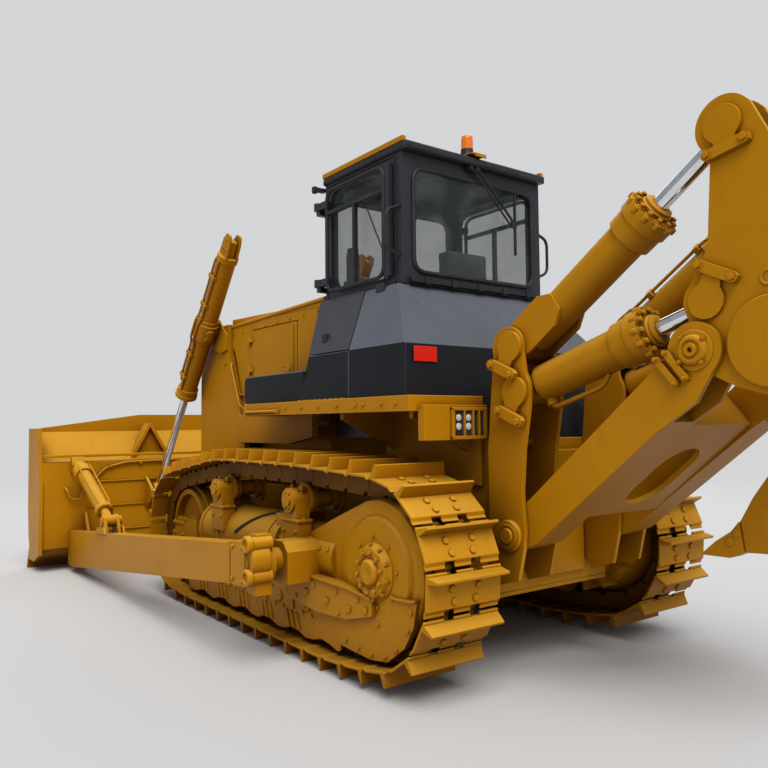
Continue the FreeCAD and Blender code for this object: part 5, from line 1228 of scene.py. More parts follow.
    def housing(self) -> None:
        """Adds the recoil housing's bolts, straps and grease line."""
        pieces = [Bench.lathe("recoil_band_%d" % index, at(x, 1.07, 0.7), at(x + 1, 1.07, 0.7), (
            (0.0, 0.228), (0.0, 0.243), (0.004, 0.247), (0.034, 0.247), (0.038, 0.243),
            (0.038, 0.228)), 64) for index, x in enumerate((1.36, 2.2, 2.56))]
        for x in (0.56, 0.66, 0.76, 0.86):
            for turn in (62, 20):
                spoke = Vector((0, math.cos(math.radians(turn)), math.sin(math.radians(turn))))
                place = Bench.stand(at(x, 1.07, 0.7) + spoke * 0.204, spoke)
                pieces.append(self.bolts("tail_bolts", 0.013, 0.012, [place]))
        yoke = [(3.06, 0.7), (3.13, 0.7), (3.2, 0.7), (3.27, 0.7), (3.06, 0.6), (3.27, 0.6)]
        pieces.append(self.bolts("yoke_bolts", 0.016, 0.016, self.outward(yoke, 1.27)))
        self.both("housing_hardware", Bench.join("housing_hardware", pieces))
        route = []
        for step in range(9):
            turn = math.radians(74 - 62 * step / 8)
            route.append(at(1.47 + 0.42 * step / 8, 1.07 + 0.241 * math.cos(turn),
                            0.7 + 0.241 * math.sin(turn)))
        self.both("grease_lines", Bench.pipe("grease_line", route, 0.012, 8, 0.01),
                  Finish.RUBBER, Slot.PLASTIC)

    def carriers(self) -> None:
        """Adds the carrier rollers' clamp caps, bolts and seals."""
        pieces, height = [], 1.0747
        for index, x in enumerate((0.96, 2.19)):
            pieces.append(self.boss("carrier_cap_%d" % index, (x, height), 1.33, (
                (0.0, 0.0), (0.0, 0.074), (0.014, 0.074), (0.02, 0.066), (0.02, 0.046),
                (0.03, 0.04), (0.03, 0.018), (0.024, 0.014), (0.024, 0.0)), 40))
            pieces.append(self.bolts("carrier_bolts_%d" % index, 0.009, 0.009, ring_places(
                at(x, 1.35, height), OUT, 0.056, 6)))
            for shift in (-0.066, 0.066):
                pieces.append(Bench.rod("clamp_stud", at(x + shift, 1.27, height + 0.02),
                                        at(x + shift, 1.27, height + 0.104), 0.012, 12, 0.003))
                pieces.append(self.bolts("clamp_nut", 0.019, 0.02, [
                    Bench.stand(at(x + shift, 1.27, height + 0.072), UP)]))
            pieces.append(Bench.box("post_foot_%d" % index, at(x - 0.128, 1.213, 0.925),
                                    at(x + 0.128, 1.338, 0.947), 0.006))
            pieces.append(self.bolts("foot_bolts_%d" % index, 0.013, 0.014, [
                Bench.stand(at(x + shift, 1.275, 0.946), UP)
                for shift in (-0.107, 0.107)]))
            pieces.append(self.bolts("post_bolts_%d" % index, 0.012, 0.012, self.outward(
                [(x - 0.08, 0.86), (x + 0.08, 0.86)], 1.326)))
        self.both("carrier_clamps", Bench.join("carrier_clamps", pieces))

    def sprocket_bolts(self) -> None:
        """Adds the bolts of the rim segments on the sprockets' inner faces."""
        places = ring_places(at(0.0, 1.034, 0.711), -OUT, 0.405, 24)
        self.both("rim_bolts", self.bolts("rim_bolts", 0.014, 0.014, places))

    def build(self) -> None:
        """Dresses the undercarriage."""
        self.hubs()
        self.guards()
        self.housing()
        self.carriers()
        self.sprocket_bolts()


@dataclass
class BladeGear(Dresser):
    """What is bolted and piped to the blade and its push arms."""

    body: str = "blade"

    def trunnions(self) -> None:
        """Adds the trunnion's clamp caps, strap and plate, and the arm's collar."""
        x, z = 0.82, 0.7
        pieces = []
        for index, height in enumerate((0.84, 0.628)):
            pieces.append(self.boss("clamp_cap_%d" % index, (0.7, height), 1.62, (
                (0.0, 0.0), (0.0, 0.046), (0.14, 0.046), (0.148, 0.056), (0.176, 0.056),
                (0.184, 0.048), (0.184, 0.032), (0.17, 0.028), (0.17, 0.015), (0.16, 0.0)), 36))
        strap = []
        for step in range(13):
            turn = math.radians(-64 + 128 * step / 12)
            strap.append((0.7 + 0.06 - 0.118 * math.cos(turn), 0.734 + 0.118 * math.sin(turn)))
        strap += [(corner[0] + 0.04, corner[1]) for corner in strap[::-1]]
        pieces.append(self.side_slab("clamp_strap", strap, 1.64, 1.772, 0.008))
        pieces.append(self.side_slab("clamp_plate", [
            (0.775, 0.85), (0.96, 0.838), (0.985, 0.815), (0.985, 0.56), (0.96, 0.545),
            (0.775, 0.552)], 1.742, 1.769, 0.006))
        pieces.append(self.bolts("clamp_bolts", 0.016, 0.016, self.outward(
            [(0.945, 0.8), (0.945, 0.59), (0.805, 0.808), (0.805, 0.59)], 1.767)))
        pieces.append(self.side_slab("arm_collar", [
            (x + 0.205, z + 0.122), (x + 0.232, z + 0.122), (x + 0.232, z - 0.172),
            (x + 0.205, z - 0.172)], 1.582, 1.758, 0.005))
        self.both("trunnion_hardware", Bench.join("trunnion_hardware", pieces))

    def struts(self) -> None:
        """Adds the strut's pins, guard bow, barrel head, gland and steel lines."""
        foot = (3.975, 0.668)
        pieces = [self.boss("strut_pin", foot, 1.742, (
            (0.0, 0.0), (0.0, 0.046), (0.014, 0.046), (0.018, 0.036), (0.018, 0.0)), 32)]
        pieces.append(Bench.rod("strut_pin_inner", at(foot[0], 1.56, foot[1]),
                                at(foot[0], 1.598, foot[1]), 0.046, 24, 0.004))
        for across in (1.572, 1.756):
            pieces.append(self.side_slab("foot_plate_%d" % (across * 1000), [
                (foot[0] - 0.15, 0.56), (foot[0] + 0.15, 0.534), (foot[0] + 0.1, 0.6),
                (foot[0] - 0.11, 0.622)], across - 0.012, across + 0.012, 0.004))
        pieces.append(Bench.pipe("guard_bow", [
            at(5.25, 1.795, 0.93), at(5.17, 1.785, 0.905), at(5.17, 1.745, 0.8),
            at(5.17, 1.64, 0.785), at(5.17, 1.605, 0.89), at(5.25, 1.6, 0.915)],
            0.014, 12, 0.03))
        self.both("strut_hardware", Bench.join("strut_hardware", pieces))
        head = Vector((5.13, 1.17)) - Vector(foot)
        run = head.normalized()
        start = at(foot[0], 1.67, foot[1])
        aim = start + Vector((run.x, 0, run.y))
        reach = head.length
        dress = [Bench.lathe("barrel_head", start, aim, (
            (reach * 0.8, 0.06), (reach * 0.8, 0.094), (reach * 0.81, 0.1),
            (reach * 0.9, 0.1), (reach * 0.915, 0.088), (reach * 0.93, 0.088),
            (reach * 0.93, 0.06)), 40), Bench.lathe("barrel_gland", start, aim, (
                (reach * 0.148, 0.045), (reach * 0.148, 0.082), (reach * 0.155, 0.09),
                (reach * 0.185, 0.09), (reach * 0.192, 0.08), (reach * 0.215, 0.08),
                (reach * 0.215, 0.045)), 40)]
        ring = ring_places(start + Vector((run.x, 0, run.y)) * reach * 0.148,
                           Vector((-run.x, 0, -run.y)), 0.069, 8)
        dress.append(self.bolts("gland_bolts", 0.008, 0.009, ring))
        for turn in (0.6, -0.6):
            lift = Vector((-run.y * math.cos(turn), math.sin(turn), run.x * math.cos(turn)))
            line = [start + Vector((run.x, 0, run.y)) * reach * share + lift * out
                    for share, out in ((0.18, 0.085), (0.21, 0.098), (0.86, 0.112), (0.9, 0.098))]
            dress.append(Bench.pipe("strut_line", line, 0.008, 8, 0.02))
        self.fit(Bench.join("tilt_dress", dress))

    def back(self) -> None:
        """Adds the lip, lines and gusset strips of the blade's back."""
        pieces = [
            Bench.box("shelf_lip", at(5.205, -2.02, 1.262), at(5.262, 2.02, 1.292), 0.006),
            Bench.box("foot_strip", at(5.2, -1.55, 0.28), at(5.245, 1.55, 0.325), 0.006),
        ]
        line = [at(5.235, 1.47, 0.99), at(5.205, 1.462, 1.025), at(5.205, 1.351, 1.136),
                at(5.205, 1.115, 1.191), at(5.205, 0.55, 1.2), at(5.235, 0.52, 1.2)]
        pieces.append(Bench.pipe("blade_line", line, 0.013, 12, 0.05))
        for index, across in enumerate((1.3, 0.95, 0.62)):
            pieces.append(Bench.box("line_clip_%d" % index,
                                    at(5.188, across - 0.018, 1.135 + 0.03 * index),
                                    at(5.236, across + 0.018, 1.175 + 0.025 * index), 0.004))
        for side in SIDES:
            pieces.append(Bench.slab("peak_fill", [
                at(5.47, side * across, height) for across, height in
                ((0.56, 1.275), (0.985, 1.275), (0.8, 1.61), (0.725, 1.61))],
                Vector((0.016, 0, 0)), 0.004))
            for index, height in enumerate((0.42, 0.7, 0.98)):
                pieces.append(Bench.box("back_rib_%d" % index,
                                        at(5.21, side * 1.16 - 0.4, height - 0.008),
                                        at(5.24, side * 1.16 + 0.4, height + 0.008), 0.004))
        self.fit(Bench.join("blade_back_trim", pieces))

    def edge(self) -> None:
        """Adds the cutting edge's plough bolts and end bits."""
        slope = Vector((0.105, 0.0, -0.23)).normalized()
        out = Vector((0.23, 0, 0.105)).normalized()
        places = []
        for index in range(22):
            across = -1.94 + 3.88 * index / 21
            for drop in (0.07, 0.15):
                point = at(5.685, across, 0.23) + slope * drop
                places.append(Bench.stand(point, out, 0.2))
        heads = self.bolts("edge_bolts", 0.02, 0.009, places)
        self.fit(heads, Finish.ZINC, Slot.DARK)
        bits = []
        for side in SIDES:
            low, high = sorted((side * 2.06, side * 1.62))
            corner = at(5.685, low, 0.23)
            bits.append(Bench.slab("end_bit", [
                corner, corner + Vector((0, high - low, 0)),
                corner + Vector((0, high - low, 0)) + slope * 0.245, corner + slope * 0.245],
                out * 0.007, 0.002))
        self.fit(Bench.join("end_bits", bits))

    def build(self) -> None:
        """Dresses the blade and its arms."""
        self.trunnions()
        self.struts()
        self.back()
        self.edge()


@dataclass
class LiftCylinders(Dresser):
    """The blade lift cylinders' barrels, rebuilt round their own pivots.

    Attributes:
        pivot: the barrel's trunnion as (station, height).
        eye: the rod's pin on the blade, likewise.
        across: the left cylinder's middle across.
        up: the barrel's reach above its trunnion.
        down: its reach below.
    """

    body: str = "lift_barrels"
    pivot: tuple[float, float] = (3.66, 2.6)
    eye: tuple[float, float] = (5.08, 0.82)
    across: float = 0.8
    up: float = 1.06
    down: float = 0.88

    def barrel(self) -> bpy.types.Object:
        """Returns the left barrel with its head, collar, gland and line."""
        run = (Vector(self.eye) - Vector(self.pivot)).normalized()
        along = Vector((run.x, 0, run.y))
        side = OUT
        face = Vector((-run.y, 0, run.x))
        base = at(self.pivot[0], self.across, self.pivot[1])

        def spot(reach: float, out: float = 0.0, over: float = 0.0) -> Vector:
            return base + along * reach + side * out + face * over

        up, down = self.up, self.down
        pieces = [Bench.lathe("barrel_tube", base, base + along, (
            (-up + 0.18, 0.0), (-up + 0.18, 0.09), (-up + 0.186, 0.106), (-up + 0.245, 0.106),
            (-up + 0.251, 0.094), (-0.14, 0.094), (-0.132, 0.104), (-0.095, 0.104),
            (-0.088, 0.118), (0.088, 0.118), (0.095, 0.104), (0.132, 0.104), (0.14, 0.094),
            (down - 0.145, 0.094), (down - 0.138, 0.11), (down - 0.086, 0.11),
            (down - 0.08, 0.1), (down - 0.072, 0.118), (down - 0.032, 0.118),
            (down - 0.028, 0.08), (down, 0.074), (down, 0.043)), 56)]
        pieces.append(Bench.rod("rod_seal", spot(down - 0.004), spot(down + 0.004), 0.052, 32))
        pieces.append(self.bolts("gland_bolts", 0.01, 0.012, ring_places(
            spot(down - 0.03), along, 0.094, 12)))
        pieces.append(self.bolts("head_bolts", 0.01, 0.012, ring_places(
            spot(-up + 0.236), -along, 0.072, 8, 0.3)))
        cheek = [(-up - 0.044, -0.03), (-up - 0.034, 0.044), (-up + 0.04, 0.086),
                 (-up + 0.2, 0.094), (-up + 0.2, -0.094), (-up + 0.03, -0.074),
                 (-up - 0.03, -0.05)]
        for index, out in enumerate((-0.066, 0.04)):
            pieces.append(Bench.slab("head_cheek_%d" % index,
                                     [spot(reach, out, over) for reach, over in cheek],
                                     side * 0.022, 0.004))
        pieces.append(Bench.slab("head_block", [spot(reach, -0.034, over) for reach, over in (
            (-up + 0.02, -0.05), (-up + 0.02, 0.05), (-up + 0.2, 0.066), (-up + 0.2, -0.066))],
            side * 0.076, 0.006))
        pieces.append(self.bolts("cheek_bolts", 0.011, 0.012, [
            Bench.stand(spot(reach, 0.061, over), side)
            for reach, over in ((-up + 0.03, 0.0), (-up + 0.12, 0.03), (-up + 0.12, -0.03))]))
        for over, turn in ((0.04, 1), (-0.04, -1)):
            pieces.append(Bench.pipe("barrel_line", [
                spot(-up + 0.2, 0.085, over * 0.6), spot(-up + 0.26, 0.101, over),
                spot(-0.17, 0.101, over), spot(-0.1, 0.124, over),
                spot(0.1, 0.124, over), spot(0.17, 0.101, over),
                spot(down - 0.24 - 0.05 * turn, 0.101, over),
                spot(down - 0.17 - 0.05 * turn, 0.088, over)], 0.013, 10, 0.03))
        for index, reach in enumerate((-0.62, -0.3, 0.3, 0.58)):
            pieces.append(Bench.slab("line_clamp_%d" % index, [
                spot(reach - 0.022, 0.074, -0.064), spot(reach + 0.022, 0.074, -0.064),
                spot(reach + 0.022, 0.074, 0.064), spot(reach - 0.022, 0.074, 0.064)],
                side * 0.044, 0.005))
            pieces.append(self.bolts("line_bolt_%d" % index, 0.009, 0.01, [
                Bench.stand(spot(reach, 0.118), side)]))
        for index, over in enumerate((-0.112, 0.112)):
            pieces.append(Bench.slab("collar_ear_%d" % index, [
                spot(-0.062, -0.02, over), spot(0.062, -0.02, over),
                spot(0.062, -0.02, over * 1.28), spot(-0.062, -0.02, over * 1.28)],
                side * 0.05, 0.006))
            for reach in (-0.036, 0.036):
                pieces.append(self.bolts("ear_bolt", 0.014, 0.016, [
                    Bench.stand(spot(reach, 0.03, over * 1.14), side)]))
        pieces.append(Bench.rod("trunnion_stub", spot(0, -0.177), spot(0, -0.06), 0.056, 40,
                                0.003))
        return Bench.join("lift_barrel", pieces)

    def build(self) -> None:
        """Rebuilds both barrels."""
        self.both("lift_barrel_pair", self.barrel(), replaces=["lift_barrels"])


@dataclass
class RipperGear(Dresser):
    """Pin covers, retainers, gland bolts and steel lines of the ripper.

    Attributes:
        outer: the brackets' outer plane across.
        slot_mid: the middle of the slot that the left cylinders stand in.
    """

    outer: float = 0.61
    slot_mid: float = 0.455

    def brackets(self) -> None:
        """Adds the covers and retainer bars of the bracket pins."""
        y = self.outer
        pieces = [
            self.keyhole("top_cover", (-0.515, 2.07), (-0.47, 1.945), 0.096, y, y + 0.03),
            self.keyhole("mid_cover", (-0.55, 1.79), (-0.515, 1.665), 0.096, y, y + 0.03),
            self.bar("top_bar", (-0.395, 1.965), (-0.555, 1.895), 0.066, y + 0.02, y + 0.06),
            self.bar("mid_bar", (-0.45, 1.68), (-0.61, 1.61), 0.066, y + 0.02, y + 0.06),
            self.boss("low_ring", (-0.48, 0.92), y - 0.002, (
                (0.0, 0.0), (0.0, 0.096), (0.016, 0.096), (0.024, 0.088), (0.024, 0.074),
                (0.034, 0.07), (0.034, 0.058), (0.024, 0.054), (0.024, 0.048), (0.046, 0.044),
                (0.046, 0.0)), 48),
        ]
        self.both("bracket_hardware", Bench.join("bracket_hardware", pieces))

    def arms(self) -> None:
        """Adds the arm's end rings and clamp bars."""
        y = self.slot_mid + 0.119
        pieces = [
            self.boss("arm_ring", (-1.7, 1.95), y - 0.002, (
                (0.0, 0.0), (0.0, 0.104), (0.008, 0.104), (0.012, 0.096), (0.012, 0.078),
                (0.026, 0.074), (0.034, 0.064), (0.034, 0.05), (0.026, 0.046), (0.026, 0.036),
                (0.038, 0.032), (0.038, 0.014), (0.02, 0.012), (0.02, 0.0)), 48),
            self.bar("clamp_bar_near", (-1.505, 1.915), (-1.61, 1.79), 0.034, y, y + 0.03),
            self.bar("clamp_bar_far", (-1.56, 1.945), (-1.665, 1.815), 0.034, y, y + 0.03),
            self.bolts("arm_bolts", 0.01, 0.01, ring_places(
                at(-1.7, y + 0.024, 1.95), OUT, 0.083, 4, 0.7)),
        ]
        self.both("arm_hardware", Bench.join("arm_hardware", pieces), body="ripper_arms")

    def cylinder(self, name: str, body: str, root: tuple[float, float],
                 pin: tuple[float, float], reach: float) -> None:
        """Dresses one pair of ripper cylinders.

        Args:
            name: the pieces' name.
            body: the barrels' body.
            root: the barrel's pivot as (station, height).
            pin: the rod's pin.
            reach: the gland's outer face, a distance from the pivot.
        """
        run = (Vector(pin) - Vector(root)).normalized()
        along = Vector((run.x, 0, run.y))
        face = Vector((run.y, 0, -run.x))
        side = OUT
        base = at(root[0], self.slot_mid, root[1])
        pieces = [
            self.bolts("gland_bolts", 0.0165, 0.026, ring_places(
                base + along * (reach - 0.03), along, 0.121, 12)),
            Bench.lathe("gland_sleeve", base, base + along, (
                (reach - 0.232, 0.1), (reach - 0.232, 0.118), (reach - 0.222, 0.134),
                (reach - 0.118, 0.1365), (reach - 0.116, 0.1475), (reach - 0.036, 0.1475),
                (reach - 0.03, 0.1425), (reach - 0.03, 0.1)), 56),
            Bench.lathe("gland_neck", base, base + along, (
                (reach - 0.034, 0.05), (reach - 0.034, 0.092), (reach - 0.01, 0.092),
                (reach - 0.002, 0.082), (reach + 0.012, 0.082), (reach + 0.018, 0.068),
                (reach + 0.018, 0.047)), 40),
        ]
        lugs = ring_places(base + along * (reach - 0.062), along, 0.14, 12)
        lug = Bench.rod("gland_lug", ORIGIN, UP * 0.033, 0.019, 14, 0.003)
        pieces.append(Bench.repeat("gland_lugs", lug, lugs))
        lower = body == "ripper_lift_barrels"
        low, far = (-face, 0.52) if lower else (face, 0.26)
        pieces.append(Bench.pipe("under_line", [
            base + along * 0.14 + low * 0.1, base + along * 0.14 + low * 0.165,
            base + along * far + low * 0.165, base + along * (far + 0.06) + low * 0.11],
            0.017, 12, 0.05))
        if not lower:
            fork = ((-0.035, -0.085), (-0.035, 0.085), (0.1, 0.117), (0.34, 0.117),
                    (0.43, 0.06), (0.43, -0.06), (0.34, -0.117), (0.1, -0.117))
            for across in (-0.119, 0.089):
                pieces.append(Bench.slab("root_fork", [
                    base + along * share + face * over + side * across for share, over in fork],
                    side * 0.03, 0.005))
        pieces.append(Bench.rod("under_port", base + along * 0.14 + low * 0.09,
                                base + along * 0.14 + low * 0.15, 0.036, 18, 0.006))
        out = (face * 0.78 - side * 0.62).normalized()
        lane = [base + along * share + out * lift for share, lift in (
            (0.2, 0.112), (0.25, 0.14), (reach - 0.2, 0.14), (reach - 0.145, 0.116))]
        pieces.append(Bench.pipe("barrel_line", lane, 0.012, 10, 0.04))
        for index, share in enumerate((0.34, 0.62)):
            middle = base + along * share * reach / 0.8 + out * 0.112
            tangent = along.cross(out)
            pieces.append(Bench.slab("line_clamp_%d" % index, [
                middle - along * 0.02 - tangent * 0.035, middle + along * 0.02 - tangent * 0.035,
                middle + along * 0.02 + tangent * 0.035, middle - along * 0.02 + tangent * 0.035],
                out * 0.045, 0.004))
        port = base + along * (reach - 0.17) + out * 0.09
        pieces.append(Bench.rod("port_boss", port, port + out * 0.055, 0.026, 16, 0.004))
        self.both(name, Bench.join(name, pieces), body=body)

    def tower(self) -> None:
        """Adds the covers of the tower's pins and the tube's end plates."""
        y = self.slot_mid + 0.083
        pieces = [
            self.keyhole("rod_cover", (-1.76, 2.19), (-1.8, 2.32), 0.094, y, y + 0.02),
            self.bar("rod_bar", (-1.735, 2.365), (-1.905, 2.28), 0.056, y, y + 0.034),
            self.keyhole("top_cover", (-1.87, 3.03), (-1.885, 2.915), 0.096, y, y + 0.024),
            self.bar("top_bar", (-1.8, 2.89), (-1.985, 2.925), 0.056, y, y + 0.038),
            self.boss("tube_end", (-2.08, 1.965), y + 0.018, (
                (0.0, 0.0), (0.0, 0.214), (0.008, 0.214), (0.016, 0.204), (0.016, 0.0)), 64),
            self.boss("tower_eye", (-2.06, 2.26), y - 0.001, (
                (0.0, 0.024), (0.0, 0.04), (0.006, 0.04), (0.009, 0.034), (0.004, 0.024)), 28),
        ]
        self.both("tower_hardware", Bench.join("tower_hardware", pieces), body="ripper_tower")

    def shank(self) -> None:
        """Adds the shank's adjusting holes as dark discs of painted shade, the holder pin and the
        point's keeper pins.
        """
        thick = 0.045
        # Painted shade: each adjusting hole is a dark disc on the shank's face.
        holes = [self.boss("shank_hole_%d" % index, (-2.14, height), thick - 0.001, (
            (0.0, 0.0), (0.0, 0.04), (0.003, 0.04), (0.003, 0.0)), 24)
            for index, height in enumerate((2.46, 1.62))]
        self.both("shank_hole_shades", Bench.join("shank_hole_shades", holes), Finish.CAST, Slot.DARK,
                  "ripper_tower")
        pins = [self.boss("point_pin_%d" % index, spot, thick + 0.011, (
            (0.0, 0.0), (0.0, 0.024), (0.006, 0.024), (0.009, 0.018), (0.009, 0.0)), 20)
            for index, spot in enumerate(((-1.565, 0.955), (-1.605, 1.005)))]
        pins.append(self.boss("holder_pin", (-2.14, 2.02), 0.15, (
            (0.0, 0.0), (0.0, 0.052), (0.03, 0.052), (0.038, 0.044), (0.038, 0.0)), 32))
        pins.append(self.bolts("holder_bolts", 0.016, 0.016, self.outward(
            [(-2.33, 2.27), (-1.98, 2.27), (-2.33, 1.76), (-1.98, 1.76)], 0.15)))
        self.both("shank_pins", Bench.join("shank_pins", pins), body="ripper_tower")

    def build(self) -> None:
        """Dresses the ripper."""
        self.brackets()
        self.arms()
        self.cylinder("lift_dress", "ripper_lift_barrels", (-0.53, 1.81), (-1.76, 2.19), 0.94)
        self.cylinder("tilt_barrel_dress", "ripper_tilt_barrels", (-0.48, 2.07), (-1.87, 3.03),
                      1.18)
        self.tower()
        self.shank()


@dataclass
class HoodGear(Dresser):
    """Latches, seams, lamps and bolts of the hood, guard and decks."""

    def decks(self) -> None:
        """Adds the deck edge's bolts, the rail under it and the tread plates."""
        spots = [(x, 1.731) for x in (-0.051, 0.103, 0.301, 0.389, 0.62, 0.86, 1.1, 1.34,
                                      1.6, 1.84)]
        pieces = [self.bolts("edge_bolts", 0.012, 0.01, self.outward(spots, 1.15))]
        pieces.append(Bench.rod("deck_rail", at(1.43, 1.166, 1.712), at(1.99, 1.166, 1.712),
                                0.013, 14, 0.003))
        for index, x in enumerate((1.44, 1.98)):
            pieces.append(Bench.box("rail_end_%d" % index, at(x - 0.014, 1.146, 1.694),
                                    at(x + 0.014, 1.184, 1.73), 0.005))
        pieces.append(Bench.box("deck_lip", at(-0.176, 1.146, 1.682), at(2.046, 1.156, 1.694),
                                0.003))
        self.both("deck_edge", Bench.join("deck_edge", pieces))
        low, high, inner, outer = 0.58, 1.22, 1.03, 1.13
        treads = []
        for row in range(3):
            for step in range(9):
                x = low + (high - low) * (step + 0.5 * (row % 2)) / 9
                y = inner + (outer - inner) * row / 2
                treads.append(Bench.stand(at(x, y, 1.78), UP))
        tread = Bench.rod("tread_stud", Vector((0, 0, -0.001)), Vector((0, 0, 0.006)), 0.018, 14,
                          0.0015)
        self.both("deck_treads", Bench.repeat("deck_treads", tread, treads))

    def doors(self) -> None:
        """Adds the engine doors' pressed panels, latches and grips."""
        for body, side in (("engine_door_left", LEFT), ("engine_door_right", RIGHT)):
            face = 0.622
            pieces = [
                self.side_slab("latch_plate", [(2.15, 2.05), (2.32, 2.05), (2.32, 2.15),
                                               (2.15, 2.15)], face, face + 0.01, 0.004),
                self.side_slab("latch_grip", [(2.175, 2.075), (2.285, 2.075), (2.285, 2.112),
                                              (2.175, 2.112)], face + 0.008, face + 0.026, 0.005),
                self.bolts("latch_bolts", 0.008, 0.007, self.outward(
                    [(2.162, 2.138), (2.308, 2.138), (2.162, 2.062), (2.308, 2.062)],
                    face + 0.009)),
            ]
            pieces.append(self.side_slab("door_press", [
                (2.135, 2.075), (2.905, 2.075), (2.905, 2.482), (2.135, 2.482)],
                face - 0.004, face + 0.005, 0.004))
            self.fit(self.on_side(Bench.join(body + "_latch", pieces), side), body=body)

    def hood(self) -> None:
        """Adds the hood's bolts, sills, rolled edges and steel line, and the stack's trim."""
        face = 0.62
        spots = [(x, 2.58 - 0.0275 * (x - 1.6))
                 for x in (1.72, 1.96, 2.2, 2.44, 2.68, 2.92, 3.16, 3.36)]
        pieces = [
            self.bolts("hood_bolts", 0.011, 0.009, self.outward(spots, face)),
            self.side_slab("hood_sill", [(1.62, 1.9), (3.4, 1.9), (3.4, 1.922),
                                         (1.62, 1.922)], face - 0.004, face + 0.018, 0.004),
            Bench.pipe("hood_roll", [at(1.61, 0.612, 2.664), at(3.4, 0.612, 2.616)],
                       0.022, 16, 0.05),
            Bench.pipe("guard_line", [
                at(3.33, 0.655, 2.24), at(3.29, 0.684, 2.2), at(3.1, 0.684, 1.8),
                at(3.06, 0.64, 1.76)], 0.01, 10, 0.03),
        ]
        self.both("hood_hardware", Bench.join("hood_hardware", pieces))
        stack = at(2.48, -0.26, 0)
        heat = [Bench.lathe("stack_collar", stack, stack + UP, (
            (2.655, 0.0), (2.655, 0.14), (2.672, 0.14), (2.68, 0.11), (2.7, 0.1),
            (2.7, 0.0)), 40)]
        heat.append(self.bolts("stack_bolts", 0.01, 0.01, ring_places(
            stack + UP * 2.672, UP, 0.124, 6)))
        heat.append(Bench.lathe("stack_band", stack, stack + UP, (
            (2.98, 0.05), (2.98, 0.092), (2.99, 0.096), (3.02, 0.096), (3.03, 0.092),
            (3.03, 0.05)), 40))
        self.fit(Bench.join("stack_trim", heat), Finish.CAST, Slot.DARK)

    def guard(self) -> None:
        """Adds the bolts of the radiator guard, of its yokes and of its top plate."""
        pieces = [self.bolts("guard_bolts", 0.014, 0.012, [
            Bench.stand(at(4.1, side * 0.6, z), AHEAD)
            for side in SIDES for z in (1.36, 1.62, 1.88, 2.14, 2.4)])]
        for side in SIDES:
            for x, z in ((3.505, 2.58), (3.475, 2.243), (3.6, 2.58), (3.6, 2.4), (3.72, 2.58),
                         (3.72, 2.4)):
                pieces.append(self.bolts("yoke_bolt", 0.017, 0.017, [
                    Bench.stand(at(x, side * 0.66, z), OUT * side)]))
        pieces.append(Bench.box("top_seam", at(3.46, -0.655, 2.628), at(3.474, 0.655, 2.645),
                                0.003))
        pieces.append(self.bolts("top_bolts", 0.013, 0.012, [
            Bench.stand(at(x, y, 2.639), UP)
            for x in (3.56, 3.98) for y in (-0.5, -0.17, 0.17, 0.5)]))
        self.fit(Bench.join("guard_trim", pieces))

    def lamps(self) -> None:
        """Adds the rear lamps' backs, grilles and lenses, and the side reflectors."""
        rear = -0.2365
        pieces, lenses = [], []
        for y in (0.806, 0.724):
            for height in (1.585, 1.64):
                lenses.append(Bench.lathe(
                    "lens", at(rear - 0.006, y, height), at(rear - 1, y, height), (
                    (0.0, 0.0), (0.0, 0.022), (0.006, 0.022), (0.011, 0.016), (0.013, 0.0)), 24))
        back = Bench.box("lamp_back", at(rear - 0.008, 0.594, 1.524), at(rear + 0.002, 0.85, 1.688),
                         0.001)
        self.both("lamp_backs", back, Finish.RUBBER, Slot.PLASTIC)
        for y0, y1, z0, z1 in ((0.572, 0.872, 1.684, 1.706), (0.572, 0.872, 1.505, 1.527),
                               (0.572, 0.596, 1.505, 1.706), (0.846, 0.872, 1.505, 1.706),
                               (0.756, 0.771, 1.52, 1.69), (0.684, 0.699, 1.52, 1.69),
                               (0.632, 0.647, 1.52, 1.69)):
            pieces.append(Bench.box("lamp_bar", at(rear - 0.024, y0, z0), at(rear + 0.002, y1, z1),
                                    0.004))
        pieces.append(self.bolts("lamp_bolts", 0.009, 0.008, [
            Bench.stand(at(rear - 0.022, y, z), -AHEAD)
            for y in (0.584, 0.859) for z in (1.516, 1.695)]))
        self.both("lamp_trim", Bench.join("lamp_trim", pieces))
        self.both("lamp_lenses", Bench.join("lamp_lenses", lenses), Finish.CLEAR, Slot.PLASTIC)
        reflector = Bench.box("reflector", at(-0.012, 0.775, 2.005), at(-0.002, 0.965, 2.105),
                              0.004)
        self.both("reflectors", reflector, Finish.RED, Slot.AMBER)

    def build(self) -> None:
        """Dresses the hood, decks and guard."""
        self.decks()
        self.doors()
        self.hood()
        self.guard()
        self.lamps()


